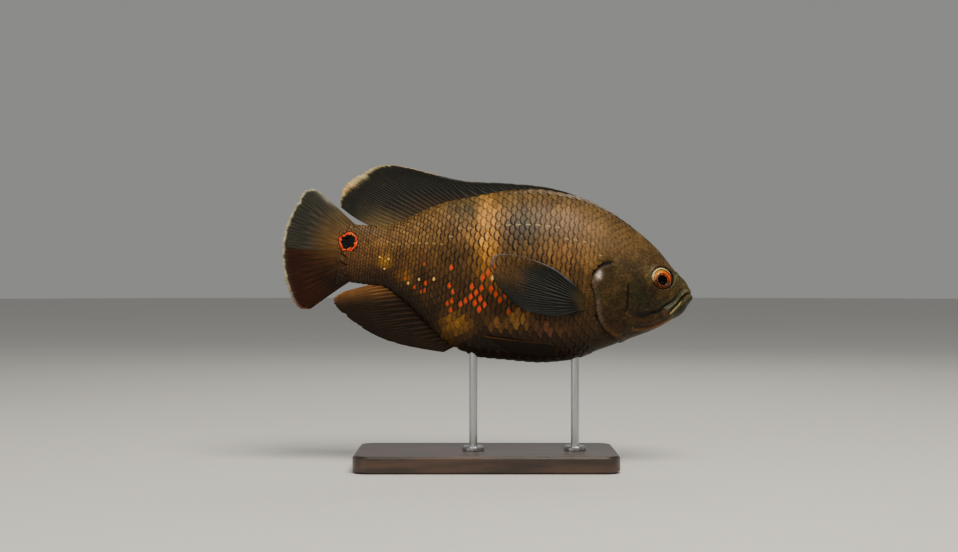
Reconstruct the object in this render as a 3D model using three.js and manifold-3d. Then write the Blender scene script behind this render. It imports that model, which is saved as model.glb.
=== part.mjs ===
// A life-size oscar, a deep-bodied cichlid, swimming with its snout a little down.
// It is held over a flat base by two slim rods, as a museum shows a fish.
// Millimetres, +Z up. The fish faces +X and shows its right flank to -Y.
import * as THREE from "three";
import { mergeVertices } from "three/addons/utils/BufferGeometryUtils.js";
import Module from "manifold-3d";

const wasm = await Module();
wasm.setup();

// Pose of the fish over its base
const SNOUT = new THREE.Vector3(148.87, 4.5, 128);
const PITCH = THREE.MathUtils.degToRad(6.5);
const ROLL = THREE.MathUtils.degToRad(-8);

// Outline of the body, as [distance behind the snout, height] knots
const BACK = profile([
  [0, 5], [10, 12], [26, 28], [42, 39.7], [66, 52.5], [90, 60], [115, 62],
  [133, 59.8], [168, 50], [183, 45.5], [200, 37], [215, 28], [228, 21.8], [250, 20.5],
]);
const BELLY = profile([
  [0, -8], [6, -18], [20, -29.5], [40, -40], [60, -50], [82, -60], [110, -64.5],
  [146, -65], [163, -61], [178, -53.5], [211, -28.5], [226, -21.8], [250, -21.5],
]);
const HALF_WIDTH = profile([
  [0, 8], [8, 10.5], [20, 15.5], [40, 20.5], [62, 23.5], [90, 25], [120, 24.5],
  [150, 21.5], [180, 16], [205, 10.5], [225, 7], [250, 3.2],
]);
const WIDEST_HEIGHT = profile([[0, -4], [30, -4], [60, -3], [120, 0], [200, 4], [250, 0]]);
const BACK_SHARPNESS = profile([[0, 0.9], [60, 1], [130, 1.3], [220, 1.15], [250, 1]]);
const BELLY_SHARPNESS = profile([[0, 0.85], [60, 0.85], [140, 0.9], [180, 1.15], [250, 1]]);
const BODY_LENGTH = 250;
const NOSE = { length: 7, height: -3, bluntness: 3 };
const BODY_RINGS = 42;
const BODY_SIDES = 28;

// Thin cuts that part the body, as [distance behind the snout, height] points
const CUT = 0.35;
const MOUTH_LINE = [[0.6, -1.6], [4.9, -6.6], [8.3, -11.6], [14.2, -18.9]];
const JAW_CUT = [[-6, 5], ...MOUTH_LINE, [21, -25], [31, -31.5], [37, -37], [39, -48]];
const GILL_EDGE = [
  [61.8, 9.2], [67.8, 6.8], [71.9, 1.6], [73.9, -3.6], [72.3, -10.3], [70, -17.2], [67.2, -27.7],
  [64.2, -33.7], [59.8, -38.1], [54.1, -41.2],
];
const GILL_CUT = [[64, 66], [61, 32], ...GILL_EDGE, [47, -43], [43, -49]];
const TAIL_STEM_START = 205;

// Gill cover: its own plate, which stands a little proud of the cheek and the flank
const COVER_FRONT = [[59.5, 9.2], [49, 5.5], [47, -3.5], [46, -14.6], [46.5, -22.5], [49.5, -30], [53, -39]];
const COVER_BEHIND = [[67, -46], [84, -46], [84, 9.2]];
const COVER = { proud: 0.9, thickness: 3.4, from: 4, to: 60 }; // from and to: its reach across the fish

// Head
const EYE = { back: 21.6, height: 5.1, radius: 8.3, depth: 5.4, sunk: 2.5 };
const EYE_RIM = { radius: 8.8, thickness: 1 };
const NOSTRIL = { back: 11.8, height: 9.6, radius: 1.1 };
const LIP = { radius: 2.7, fromMouthLine: 2.6, sunk: 0.7 };

// Fins
const MEMBRANE = 0.3; // half the thickness of the web between two rays
const RAY = 0.35; // how far a ray stands out on each face
const FIN_SUNK = 3; // how far a fin's root starts inside the body, before it is cut back
const GAP = 0.3; // clear space between neighbouring parts
const PECTORAL_CLEAR = 12; // how far the tip of the pectoral fin stands off the flank at its root

// Stand
const BASE = { length: 190, width: 96, height: 12, corner: 10, bevel: 1.5 };
const ROD = { radius: 3, footRadius: 8, footHeight: 3, sides: 20 };
const ROD_BACK = { front: 78, rear: 152 }; // distance behind the snout

const COLOURS = {
  head: 0x5a4a34, trunk: 0x6b563a, tail_stem: 0x6a5236, lower_jaw: 0x4a3d2b, gill_cover: 0x5e4c37,
  eye: 0xc4541a, fin: 0x37342c, caudal: 0x40352a, base: 0x2b2724, rod: 0xb4b6b8,
};

// A smooth curve through knots that never swings past them
function profile(knots) {
  const last = knots.length - 1;
  const slopes = knots.slice(1).map(([d, v], i) => (v - knots[i][1]) / (d - knots[i][0]));
  const tangents = knots.map((_, i) => {
    if (i === 0) return slopes[0];
    if (i === last) return slopes[last - 1];
    const [before, after] = [slopes[i - 1], slopes[i]];
    return before * after <= 0 ? 0 : (2 * before * after) / (before + after);
  });
  return (distance) => {
    const d = Math.min(Math.max(distance, knots[0][0]), knots[last][0]);
    let i = 0;
    while (i < last - 1 && d > knots[i + 1][0]) i += 1;
    const span = knots[i + 1][0] - knots[i][0];
    const t = (d - knots[i][0]) / span;
    const [t2, t3] = [t * t, t * t * t];
    return (
      (2 * t3 - 3 * t2 + 1) * knots[i][1] +
      (t3 - 2 * t2 + t) * span * tangents[i] +
      (3 * t2 - 2 * t3) * knots[i + 1][1] +
      (t3 - t2) * span * tangents[i + 1]
    );
  };
}

const lerp = THREE.MathUtils.lerp;

// Cross-section of the body at a distance behind the snout
function section(distance, grow = 0) {
  const inNose = Math.max(0, 1 - (distance + grow) / (NOSE.length + grow));
  const closing = (1 - inNose ** NOSE.bluntness) ** (1 / NOSE.bluntness);
  const towards = (height) => NOSE.height + (height - NOSE.height) * closing;
  return {
    top: towards(BACK(distance) + grow),
    bottom: towards(BELLY(distance) - grow),
    middle: towards(WIDEST_HEIGHT(distance)),
    halfWidth: (HALF_WIDTH(distance) + grow) * closing,
    topPower: BACK_SHARPNESS(distance),
    bottomPower: BELLY_SHARPNESS(distance),
  };
}

// The point of the body's skin at a distance behind the snout, and an angle from the back
function skinPoint(distance, angle, grow = 0) {
  const s = section(distance, grow);
  const up = Math.cos(angle);
  const across = Math.sin(angle);
  const height = up > 0 ? s.middle + (s.top - s.middle) * up : s.middle + (s.middle - s.bottom) * up;
  const power = up > 0 ? s.topPower : s.bottomPower;
  const y = Math.sign(across) * s.halfWidth * Math.abs(across) ** power;
  return new THREE.Vector3(-distance, y, height);
}

// Half the body's width at a distance behind the snout and a height
function halfWidthAt(distance, height) {
  const s = section(distance);
  const reach = height > s.middle ? s.top - s.middle : s.middle - s.bottom;
  const up = Math.min(1, Math.abs(height - s.middle) / reach);
  const power = height > s.middle ? s.topPower : s.bottomPower;
  return s.halfWidth * Math.sqrt(1 - up * up) ** power;
}

function onFlank(distance, height, out = 0) {
  return new THREE.Vector3(-distance, halfWidthAt(distance, height) + out, height);
}

// Geometry and solids
function geometryOf(points, faces) {
  const geometry = new THREE.BufferGeometry();
  geometry.setAttribute("position", new THREE.Float32BufferAttribute(points.flatMap((p) => p.toArray()), 3));
  geometry.setIndex(faces.flat());
  return geometry;
}

function solidOf(geometry) {
  const bare = geometry.clone();
  bare.deleteAttribute("normal");
  bare.deleteAttribute("uv");
  const merged = mergeVertices(bare, 1e-4);
  return new wasm.Manifold(
    new wasm.Mesh({
      numProp: 3,
      vertProperties: merged.attributes.position.array,
      triVerts: new Uint32Array(merged.index.array),
    }),
  );
}

function largest(solid) {
  return solid.decompose().reduce((best, piece) => (piece.volume() > best.volume() ? piece : best));
}

function meshOf(solid, name, colour, roughness = 0.55, metalness = 0) {
  const found = largest(solid).getMesh();
  const geometry = new THREE.BufferGeometry();
  geometry.setAttribute("position", new THREE.BufferAttribute(found.vertProperties, 3));
  geometry.setIndex(new THREE.BufferAttribute(found.triVerts, 1));
  geometry.computeVertexNormals();
  const material = new THREE.MeshStandardMaterial({ color: colour, roughness, metalness });
  const mesh = new THREE.Mesh(geometry, material);
  mesh.name = name;
  return mesh;
}

const mirrored = (solid) => solid.mirror([0, 1, 0]);

// Rings of points joined into one closed tube, with a fan over each end
function tubeOf(rings) {
  const sides = rings[0].length;
  const points = rings.flat();
  const faces = [];
  for (let i = 0; i < rings.length - 1; i += 1) {
    for (let j = 0; j < sides; j += 1) {
      const [a, b] = [i * sides + j, i * sides + ((j + 1) % sides)];
      faces.push([a, b, b + sides], [a, b + sides, a + sides]);
    }
  }
  const centre = (ring) => ring.reduce((sum, p) => sum.add(p), new THREE.Vector3()).divideScalar(sides);
  const first = points.push(centre(rings[0])) - 1;
  const end = points.push(centre(rings.at(-1))) - 1;
  const start = (rings.length - 1) * sides;
  for (let j = 0; j < sides; j += 1) {
    const k = (j + 1) % sides;
    faces.push([first, k, j], [end, start + j, start + k]);
  }
  const solid = solidOf(geometryOf(points, faces));
  return solid.volume() > 0 ? solid : solidOf(geometryOf(points, faces.map(([a, b, c]) => [a, c, b])));
}

// The whole body, grown or shrunk by an even amount
function bodySolid(grow = 0) {
  const rings = [];
  for (let i = 0; i <= BODY_RINGS; i += 1) {
    const along = i / BODY_RINGS;
    const distance = lerp(0.12 - grow, BODY_LENGTH + grow, 0.62 * along ** 2 + 0.38 * along ** 1.2);
    rings.push(
      Array.from({ length: BODY_SIDES }, (_, j) =>
        skinPoint(distance, (j / BODY_SIDES) * 2 * Math.PI, grow),
      ),
    );
  }
  return tubeOf(rings);
}

// A flat outline in the fish's side view, given depth across the body
function across(outline, from, to) {
  const shape = new THREE.Shape(outline.map(([d, z]) => new THREE.Vector2(-d, z)));
  const geometry = new THREE.ExtrudeGeometry(shape, { depth: to - from, bevelEnabled: false });
  geometry.rotateX(Math.PI / 2).translate(0, to, 0);
  return solidOf(geometry);
}

// A thin band along a line in the side view, right through the body
function cutAlong(line, thickness = CUT) {
  const edge = (side) =>
    line.map(([d, z], i) => {
      const [d0, z0] = line[Math.max(0, i - 1)];
      const [d1, z1] = line[Math.min(line.length - 1, i + 1)];
      const length = Math.hypot(d1 - d0, z1 - z0);
      const shift = (side * thickness) / 2 / length;
      return [d - (z1 - z0) * shift, z + (d1 - d0) * shift];
    });
  return across([...edge(1), ...edge(-1).reverse()], -60, 60);
}

function smoothLine(points, steps) {
  const curve = new THREE.SplineCurve(points.map(([d, z]) => new THREE.Vector2(d, z)));
  return curve.getPoints(steps).map((p) => [p.x, p.y]);
}

// A rod of varying radius along a smooth line
function sweep(points, radiusAt, steps = 18, sides = 8) {
  const curve = new THREE.CatmullRomCurve3(points);
  const frames = curve.computeFrenetFrames(steps, false);
  const rings = [];
  for (let i = 0; i <= steps; i += 1) {
    const centre = curve.getPointAt(i / steps);
    rings.push(
      Array.from({ length: sides }, (_, j) => {
        const angle = (j / sides) * 2 * Math.PI;
        const radius = radiusAt(i / steps);
        return centre
          .clone()
          .addScaledVector(frames.normals[i], Math.cos(angle) * radius)
          .addScaledVector(frames.binormals[i], Math.sin(angle) * radius);
      }),
    );
  }
  return tubeOf(rings);
}

// One lip, from corner to corner round the front of the mouth
function lip(side) {
  const line = new THREE.SplineCurve(MOUTH_LINE.map(([d, z]) => new THREE.Vector2(d, z)));
  const steps = 6;
  const half = [];
  for (let i = 1; i <= steps; i += 1) {
    const at = line.getPoint((i / steps) ** 1.3);
    const slope = line.getTangent(i / steps);
    const d = Math.max(0.5, at.x - slope.y * side * LIP.fromMouthLine);
    const z = at.y + slope.x * side * LIP.fromMouthLine;
    half.push(onFlank(d, z, -LIP.sunk));
  }
  const start = line.getPoint(0);
  const frontHeight = start.y + side * LIP.fromMouthLine - 0.5;
  const front = new THREE.Vector3(LIP.sunk - start.x - 1.5 - 0.7 * side, 0, frontHeight);
  const otherHalf = half.map((p) => new THREE.Vector3(p.x, -p.y, p.z));
  const radius = (along) => LIP.radius * (1 - 0.75 * Math.abs(2 * along - 1) ** 4);
  return sweep([...otherHalf.reverse(), front, ...half], radius);
}

// The way out of the head's left side at a place in the side view
function outward(distance, height) {
  const step = 2;
  const along = onFlank(distance + step, height).sub(onFlank(distance - step, height));
  const up = onFlank(distance, height + step).sub(onFlank(distance, height - step));
  const out = along.cross(up).normalize();
  return out.y < 0 ? out.negate() : out;
}

function turnedTo(geometry, direction, place) {
  const turn = new THREE.Quaternion().setFromUnitVectors(new THREE.Vector3(0, 0, 1), direction);
  return geometry.applyQuaternion(turn).translate(...place.toArray());
}

function eyeball(grow = 0) {
  const out = outward(EYE.back, EYE.height);
  const ball = new THREE.SphereGeometry(1, 20, 12);
  ball.rotateX(Math.PI / 2).scale(EYE.radius + grow, EYE.radius + grow, EYE.depth + grow);
  return solidOf(turnedTo(ball, out, onFlank(EYE.back, EYE.height).addScaledVector(out, -EYE.sunk)));
}

function eyeRim() {
  const out = outward(EYE.back, EYE.height);
  const ring = new THREE.TorusGeometry(EYE_RIM.radius, EYE_RIM.thickness, 6, 20);
  return solidOf(turnedTo(ring, out, onFlank(EYE.back, EYE.height).addScaledVector(out, -0.3)));
}

function nostril() {
  const pit = new THREE.SphereGeometry(NOSTRIL.radius, 8, 6);
  return solidOf(pit.translate(...onFlank(NOSTRIL.back, NOSTRIL.height).toArray()));
}

function nostrilRim() {
  const out = outward(NOSTRIL.back, NOSTRIL.height);
  const ring = new THREE.TorusGeometry(NOSTRIL.radius + 0.4, 0.5, 5, 10);
  return solidOf(turnedTo(ring, out, onFlank(NOSTRIL.back, NOSTRIL.height)));
}

// A fin: a thin web between two curves, with its rays raised on both faces
function fin({ root, tip, rays, rows = 6, rootHalf = 1.2, notch = 0.05, bow = () => new THREE.Vector3() }) {
  const place = (s, t) => root(s).lerp(tip(s), t).add(bow(s, t));
  const columns = [];
  for (let i = 0; i < rays; i += 1) {
    columns.push([i / rays, 0], [(i + 0.34) / rays, 1], [(i + 0.66) / rays, 1]);
  }
  columns.push([1, 0]);
  const step = 1e-3;
  const faces = [[], []];
  columns.forEach(([s, crest]) => {
    for (let j = 0; j <= rows; j += 1) {
      const t = (j / rows) * (1 - (crest ? 0 : notch * (j / rows) ** 3));
      const alongBase = place(Math.min(1, s + step), t).sub(place(Math.max(0, s - step), t));
      const alongRay = place(s, Math.min(1, t + step)).sub(place(s, Math.max(0, t - step)));
      const normal = alongBase.cross(alongRay).normalize();
      const web = MEMBRANE + (rootHalf - MEMBRANE) * (1 - t) ** 3;
      const half = web + crest * RAY * (1 - 0.7 * t);
      faces[0].push(place(s, t).addScaledVector(normal, half));
      faces[1].push(place(s, t).addScaledVector(normal, -half));
    }
  });
  return sheetOf(faces, columns.length, rows + 1);
}

// Two like grids of points, closed round their edges into one thin solid
function sheetOf([front, back], columns, rows) {
  const points = [...front, ...back];
  const behind = front.length;
  const faces = [];
  for (let i = 0; i < columns - 1; i += 1) {
    for (let j = 0; j < rows - 1; j += 1) {
      const [a, b, c, d] = [i * rows + j, (i + 1) * rows + j, (i + 1) * rows + j + 1, i * rows + j + 1];
      faces.push([a, b, c], [a, c, d]);
      faces.push([behind + a, behind + c, behind + b], [behind + a, behind + d, behind + c]);
    }
  }
  const edge = (list) => {
    for (let k = 0; k < list.length - 1; k += 1) {
      const [a, b] = [list[k], list[k + 1]];
      faces.push([a, behind + a, behind + b], [a, behind + b, b]);
    }
  };
  const column = (i) => Array.from({ length: rows }, (_, j) => i * rows + j);
  const row = (j) => Array.from({ length: columns }, (_, i) => i * rows + j);
  edge(row(0));
  edge(column(columns - 1));
  edge(row(rows - 1).reverse());
  edge(column(0).reverse());
  const solid = solidOf(geometryOf(points, faces));
  return solid.volume() > 0 ? solid : solidOf(geometryOf(points, faces.map(([a, b, c]) => [a, c, b])));
}

// A curve through [distance, height] points, as a function of 0 to 1
function curveThrough(points) {
  const curve = new THREE.CatmullRomCurve3(points.map(([d, z]) => new THREE.Vector3(-d, 0, z)));
  return (s) => curve.getPoint(s);
}

const alongBack = (from, to) => (s) => {
  const d = lerp(from, to, s);
  return new THREE.Vector3(-d, 0, BACK(d) - FIN_SUNK);
};

const alongBelly = (from, to) => (s) => {
  const d = lerp(from, to, s);
  return new THREE.Vector3(-d, 0, BELLY(d) + FIN_SUNK);
};

function dorsalSpiny() {
  return fin({
    root: alongBack(74, 169),
    tip: curveThrough([[78, 57.6], [98, 63.3], [119, 65.4], [148, 64.6], [172, 63], [193, 65.1]]),
    rays: 13, rows: 3, notch: 0.08, rootHalf: 1.3,
  });
}

function dorsalSoft() {
  return fin({
    root: alongBack(169.4, 226),
    tip: curveThrough([
      [193.4, 65.1], [222, 68.9], [238, 67.2], [250.6, 59.1], [260, 50.5], [263, 41], [262, 33],
    ]),
    rays: 19, rows: 4, notch: 0.04, rootHalf: 1.3,
    bow: (s, t) => new THREE.Vector3(0, 0, -2.8 * Math.sin(Math.PI * t) * s ** 6),
  });
}

function analFin() {
  return fin({
    root: alongBelly(163, 225),
    tip: curveThrough([
      [174, -65.5], [205, -63.5], [227, -58], [245, -49], [256, -41], [258.5, -35], [252, -29.5],
    ]),
    rays: 17, rows: 4, notch: 0.04, rootHalf: 1.2,
  });
}

function caudalFin() {
  const crease = 0.47;
  return fin({
    root: (s) => new THREE.Vector3(-BODY_LENGTH - GAP, 0, lerp(20.4, -21.4, s)),
    tip: curveThrough([
      [278, 42.6], [285, 44.6], [291.5, 39.5], [299.5, 18], [301.3, 0], [297.8, -20], [289, -39],
      [283, -45], [275, -45],
    ]),
    rays: 15, rows: 5, notch: 0.03, rootHalf: 2.9,
    bow: (s, t) => new THREE.Vector3(0, 9 * t * t * (Math.hypot(s - crease, 0.12) - 0.12), 0),
  });
}

// Laid back along the flank, fanned out and a little clear of it
function pectoralFin() {
  const out = halfWidthAt(74, -18) + PECTORAL_CLEAR;
  const edge = curveThrough([
    [118, 4.4], [132.4, 6.8], [143.7, 5.5], [148.2, 1.3], [146.4, -5.7], [142.8, -15.3],
    [134.7, -23.1], [123.9, -30.5], [110, -33.8],
  ]);
  return fin({
    root: (s) => onFlank(lerp(76.8, 75.6, s), lerp(-15.2, -25.1, s), -1.5),
    tip: (s) => edge(s).setY(out),
    rays: 13, rows: 5, notch: 0.03, rootHalf: 1.8,
    bow: (s, t) => new THREE.Vector3(0, 2.6 * Math.sin(Math.PI * t), 7 * Math.sin(Math.PI * t) * (0.5 - s)),
  });
}

// Folded back against the side of the belly
function pelvicFin() {
  const clear = 2.4;
  const hugging = (d, z, out) => onFlank(d, z).add(new THREE.Vector3(0, out, -out * 0.5));
  return fin({
    root: (s) => hugging(lerp(88, 92, s), lerp(-51.5, -57.5, s), -1.2),
    tip: (s) => hugging(lerp(148, 122, s), lerp(-50.5, -61.5, s), clear),
    rays: 6, rows: 5, notch: 0.06, rootHalf: 1.5,
    bow: (s, t) => new THREE.Vector3(0, 1.6 * Math.sin(Math.PI * t), -0.8 * Math.sin(Math.PI * t)),
  });
}

// Stand
function standBase() {
  const [x, y, r] = [BASE.length / 2 - BASE.bevel, BASE.width / 2 - BASE.bevel, BASE.corner];
  const shape = new THREE.Shape();
  shape.absarc(x - r, y - r, r, 0, Math.PI / 2);
  shape.absarc(-x + r, y - r, r, Math.PI / 2, Math.PI);
  shape.absarc(-x + r, -y + r, r, Math.PI, 1.5 * Math.PI);
  shape.absarc(x - r, -y + r, r, 1.5 * Math.PI, 2 * Math.PI);
  const geometry = new THREE.ExtrudeGeometry(shape, {
    depth: BASE.height - 2 * BASE.bevel, bevelSize: BASE.bevel, bevelThickness: BASE.bevel,
    bevelSegments: 1, curveSegments: 5,
  });
  return solidOf(geometry.translate(0, 0, BASE.bevel));
}

function standRod(distance, bodyInPlace, fishMatrix) {
  const belly = new THREE.Vector3(-distance, 0, BELLY(distance)).applyMatrix4(fishMatrix);
  const bottom = BASE.height + GAP;
  const outline = [
    [0, bottom], [ROD.footRadius, bottom], [ROD.footRadius, bottom + ROD.footHeight - 1],
    [ROD.footRadius - 1, bottom + ROD.footHeight], [ROD.radius, bottom + ROD.footHeight],
    [ROD.radius, belly.z + 8], [0, belly.z + 8],
  ];
  const rod = new THREE.LatheGeometry(outline.map(([r, z]) => new THREE.Vector2(r, z)), ROD.sides);
  rod.rotateX(Math.PI / 2).translate(belly.x, belly.y, 0);
  const raw = solidOf(rod).subtract(bodyInPlace);
  const lowest = (piece) => piece.boundingBox().min[2];
  return raw.decompose().reduce((low, piece) => (lowest(piece) < lowest(low) ? piece : low));
}

// The body in one piece, with its lips, eye rims and nostrils, then parted by thin cuts
const whole = [lip(1), lip(-1), eyeRim(), mirrored(eyeRim()), nostrilRim(), mirrored(nostrilRim())]
  .reduce((sum, piece) => sum.add(piece), bodySolid())
  .subtract(nostril())
  .subtract(mirrored(nostril()))
  .subtract(eyeball(GAP))
  .subtract(mirrored(eyeball(GAP)));

const jawCut = cutAlong(smoothLine(JAW_CUT, 16));
const gillCut = cutAlong(smoothLine(GILL_CUT, 24));
const tailCut = cutAlong([[TAIL_STEM_START, 80], [TAIL_STEM_START, -80]]);
const pieces = whole.subtract(jawCut).subtract(gillCut).subtract(tailCut).decompose()
  .sort((a, b) => b.volume() - a.volume())
  .slice(0, 4)
  .sort((a, b) => b.boundingBox().max[0] - a.boundingBox().max[0]);
const byHeight = pieces.slice(0, 2).sort((a, b) => b.boundingBox().max[2] - a.boundingBox().max[2]);
const [headPiece, jawPiece] = byHeight;
const [trunkPiece, tailPiece] = pieces.slice(2);

// Gill covers, and the shallow beds in the head that they lie in
const coverOutline = [...COVER_FRONT, ...COVER_BEHIND];
const grownOutline = coverOutline.map(([d, z]) => [d < 60 ? d - GAP : d, z > 0 ? z + GAP : z - GAP]);
const coverPlate = largest(
  bodySolid(COVER.proud)
    .intersect(across(coverOutline, COVER.from, COVER.to))
    .subtract(bodySolid(COVER.proud - COVER.thickness))
    .subtract(gillCut),
);
const coverBed = across(grownOutline, COVER.from - GAP, COVER.to)
  .subtract(bodySolid(COVER.proud - COVER.thickness - GAP));
const headSolid = headPiece.subtract(coverBed).subtract(mirrored(coverBed));

const grownBody = bodySolid(GAP);
const grownPlates = bodySolid(COVER.proud + GAP)
  .intersect(across(coverOutline, COVER.from, COVER.to).subtract(gillCut));
const clearOfBody = (solid) => largest(solid.subtract(grownBody).subtract(grownPlates));
const pectoral = clearOfBody(pectoralFin());
const pelvic = clearOfBody(pelvicFin());

const fish = new THREE.Group();
fish.rotation.set(ROLL, PITCH, 0, "YXZ");
fish.position.copy(SNOUT);
fish.updateMatrixWorld(true);
fish.add(
  meshOf(headSolid, "head", COLOURS.head),
  meshOf(jawPiece, "lower_jaw", COLOURS.lower_jaw),
  meshOf(coverPlate, "gill_cover_left", COLOURS.gill_cover),
  meshOf(mirrored(coverPlate), "gill_cover_right", COLOURS.gill_cover),
  meshOf(eyeball(), "eye_left", COLOURS.eye, 0.15),
  meshOf(mirrored(eyeball()), "eye_right", COLOURS.eye, 0.15),
  meshOf(trunkPiece, "trunk", COLOURS.trunk),
  meshOf(tailPiece, "tail_stem", COLOURS.tail_stem),
  meshOf(clearOfBody(dorsalSpiny()), "dorsal_fin_spiny", COLOURS.fin),
  meshOf(clearOfBody(dorsalSoft()), "dorsal_fin_soft", COLOURS.fin),
  meshOf(clearOfBody(analFin()), "anal_fin", COLOURS.fin),
  meshOf(caudalFin(), "caudal_fin", COLOURS.caudal),
  meshOf(pectoral, "pectoral_fin_left", COLOURS.fin),
  meshOf(mirrored(pectoral), "pectoral_fin_right", COLOURS.fin),
  meshOf(pelvic, "pelvic_fin_left", COLOURS.fin),
  meshOf(mirrored(pelvic), "pelvic_fin_right", COLOURS.fin),
);

const matrix = fish.matrixWorld;
const bodyInPlace = bodySolid(GAP).transform(matrix.toArray());

const model = new THREE.Group();
model.add(
  fish,
  meshOf(standBase(), "stand_base", COLOURS.base, 0.5),
  meshOf(standRod(ROD_BACK.front, bodyInPlace, matrix), "stand_rod_front", COLOURS.rod, 0.3, 1),
  meshOf(standRod(ROD_BACK.rear, bodyInPlace, matrix), "stand_rod_rear", COLOURS.rod, 0.3, 1),
);

export default model;
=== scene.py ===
# %% [markdown]
# # A life-size oscar on a display stand
# An oscar is a deep, slab-sided cichlid: a thick nape, a blunt tail, and heavy
# scales with dark rims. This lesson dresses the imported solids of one, bit by bit.
# The solids fix every size and place. Blender adds the skin, scales, fins and finish.

# %% Load the frame
import math

import bmesh
import bpy
import numpy as np
from mathutils import Matrix, Vector


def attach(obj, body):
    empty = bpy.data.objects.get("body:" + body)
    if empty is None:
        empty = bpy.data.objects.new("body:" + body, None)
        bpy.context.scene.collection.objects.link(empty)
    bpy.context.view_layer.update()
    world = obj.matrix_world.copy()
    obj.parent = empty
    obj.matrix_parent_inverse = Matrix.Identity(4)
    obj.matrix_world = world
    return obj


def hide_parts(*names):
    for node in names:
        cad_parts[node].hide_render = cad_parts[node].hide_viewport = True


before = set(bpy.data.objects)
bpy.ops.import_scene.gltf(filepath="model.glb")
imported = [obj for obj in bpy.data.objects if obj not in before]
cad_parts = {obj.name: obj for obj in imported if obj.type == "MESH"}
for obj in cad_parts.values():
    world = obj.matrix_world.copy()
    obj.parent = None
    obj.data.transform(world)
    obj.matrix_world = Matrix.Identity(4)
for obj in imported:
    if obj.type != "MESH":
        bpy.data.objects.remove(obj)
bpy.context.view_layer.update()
MM = 0.001

# %% [markdown]
# ## The camera
# The photo looks level at the fish's right flank. A camera's frame is fixed by how
# wide a strip of the world it takes in at the subject, so that width is the driving
# size here, and the focal length follows from it and from the distance.

# %% Camera
VIEW_WIDTH = 0.7013
CAMERA_AWAY = 1.15
CAMERA_PLACE = (-0.0052, 0.139)  # along the fish, and up
SENSOR_WIDTH = 36


def add_object(name, data):
    made = bpy.data.objects.new(name, data)
    bpy.context.scene.collection.objects.link(made)
    return made


def add_camera():
    data = bpy.data.cameras.new("camera")
    data.sensor_width = SENSOR_WIDTH
    data.lens = SENSOR_WIDTH * CAMERA_AWAY / VIEW_WIDTH
    camera = add_object("camera", data)
    camera.location = (CAMERA_PLACE[0], -CAMERA_AWAY, CAMERA_PLACE[1])
    camera.rotation_euler = (math.pi / 2, 0, 0)
    bpy.context.scene.camera = camera
    return camera


camera = add_camera()
print("camera", tuple(camera.location), "lens", round(camera.data.lens, 1), "mm")

# %% [markdown]
# ## The fish's own frame
# A fish is easiest to draw lying straight: a distance behind the snout, a height
# over its axis, and how far out to the side. One turn then gives it its pose, with
# the snout a little down and the belly rolled a little towards the camera.
# Lengths in that frame are millimetres.

# %% Pose and smooth curves
SNOUT = np.array([148.87, 4.5, 128.0])
PITCH = math.radians(6.5)
ROLL = math.radians(-8)
TURN = np.array(Matrix.Rotation(PITCH, 3, "Y") @ Matrix.Rotation(ROLL, 3, "X"))


def to_world(points):
    return (SNOUT + np.asarray(points) @ TURN.T) * MM


def profile(knots):
    """A smooth curve through knots that never swings past them."""
    at, value = np.array(knots, float).T
    slope = np.diff(value) / np.diff(at)
    before, after = slope[:-1], slope[1:]
    level = before * after <= 0
    middle = np.where(level, 0, 2 * before * after / np.where(level, 1, before + after))
    tangent = np.concatenate([slope[:1], middle, slope[-1:]])

    def curve(x):
        x = np.clip(x, at[0], at[-1])
        i = np.clip(np.searchsorted(at, x, side="right") - 1, 0, len(at) - 2)
        span = at[i + 1] - at[i]
        t = (x - at[i]) / span
        return (
            (2 * t**3 - 3 * t**2 + 1) * value[i]
            + (t**3 - 2 * t**2 + t) * span * tangent[i]
            + (3 * t**2 - 2 * t**3) * value[i + 1]
            + (t**3 - t**2) * span * tangent[i + 1]
        )

    return curve


def smooth(x, low, high):
    """Eases from 0 to 1 as x goes from low to high."""
    t = np.clip((x - low) / (high - low), 0, 1)
    return t * t * (3 - 2 * t)


def bump_at(x, width):
    """A soft bump, 1 at nothing and fading over a width to both sides."""
    return np.exp(-((x / width) ** 2))


print("snout at", to_world([[0, 0, 0]])[0].round(4))

# %% [markdown]
# ## The outline of the body
# The back, the belly and the half width are each one curve along the fish. Every
# cross-section is a rounded wedge between them. These are the same curves that the
# solids were lofted from, so the skin lies where they do.

# %% Body curves
BODY_LENGTH = 250
BACK = profile([
    [0, 5], [10, 12], [26, 28], [42, 39.7], [66, 52.5], [90, 60], [115, 62],
    [133, 59.8], [168, 50], [183, 45.5], [200, 37], [215, 28], [228, 21.8], [250, 20.5],
])
BELLY = profile([
    [0, -8], [6, -18], [20, -29.5], [40, -40], [60, -50], [82, -60], [110, -64.5],
    [146, -65], [163, -61], [178, -53.5], [211, -28.5], [226, -21.8], [250, -21.5],
])
HALF_WIDTH = profile([
    [0, 8], [8, 10.5], [20, 15.5], [40, 20.5], [62, 23.5], [90, 25], [120, 24.5],
    [150, 21.5], [180, 16], [205, 10.5], [225, 7], [250, 3.2],
])
WIDEST_HEIGHT = profile([[0, -4], [30, -4], [60, -3], [120, 0], [200, 4], [250, 0]])
BACK_SHARPNESS = profile([[0, 0.9], [60, 1], [130, 1.3], [220, 1.15], [250, 1]])
BELLY_SHARPNESS = profile([[0, 0.85], [60, 0.85], [140, 0.9], [180, 1.15], [250, 1]])
NOSE_LENGTH = 7
NOSE_HEIGHT = -3
NOSE_BLUNTNESS = 3


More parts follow.
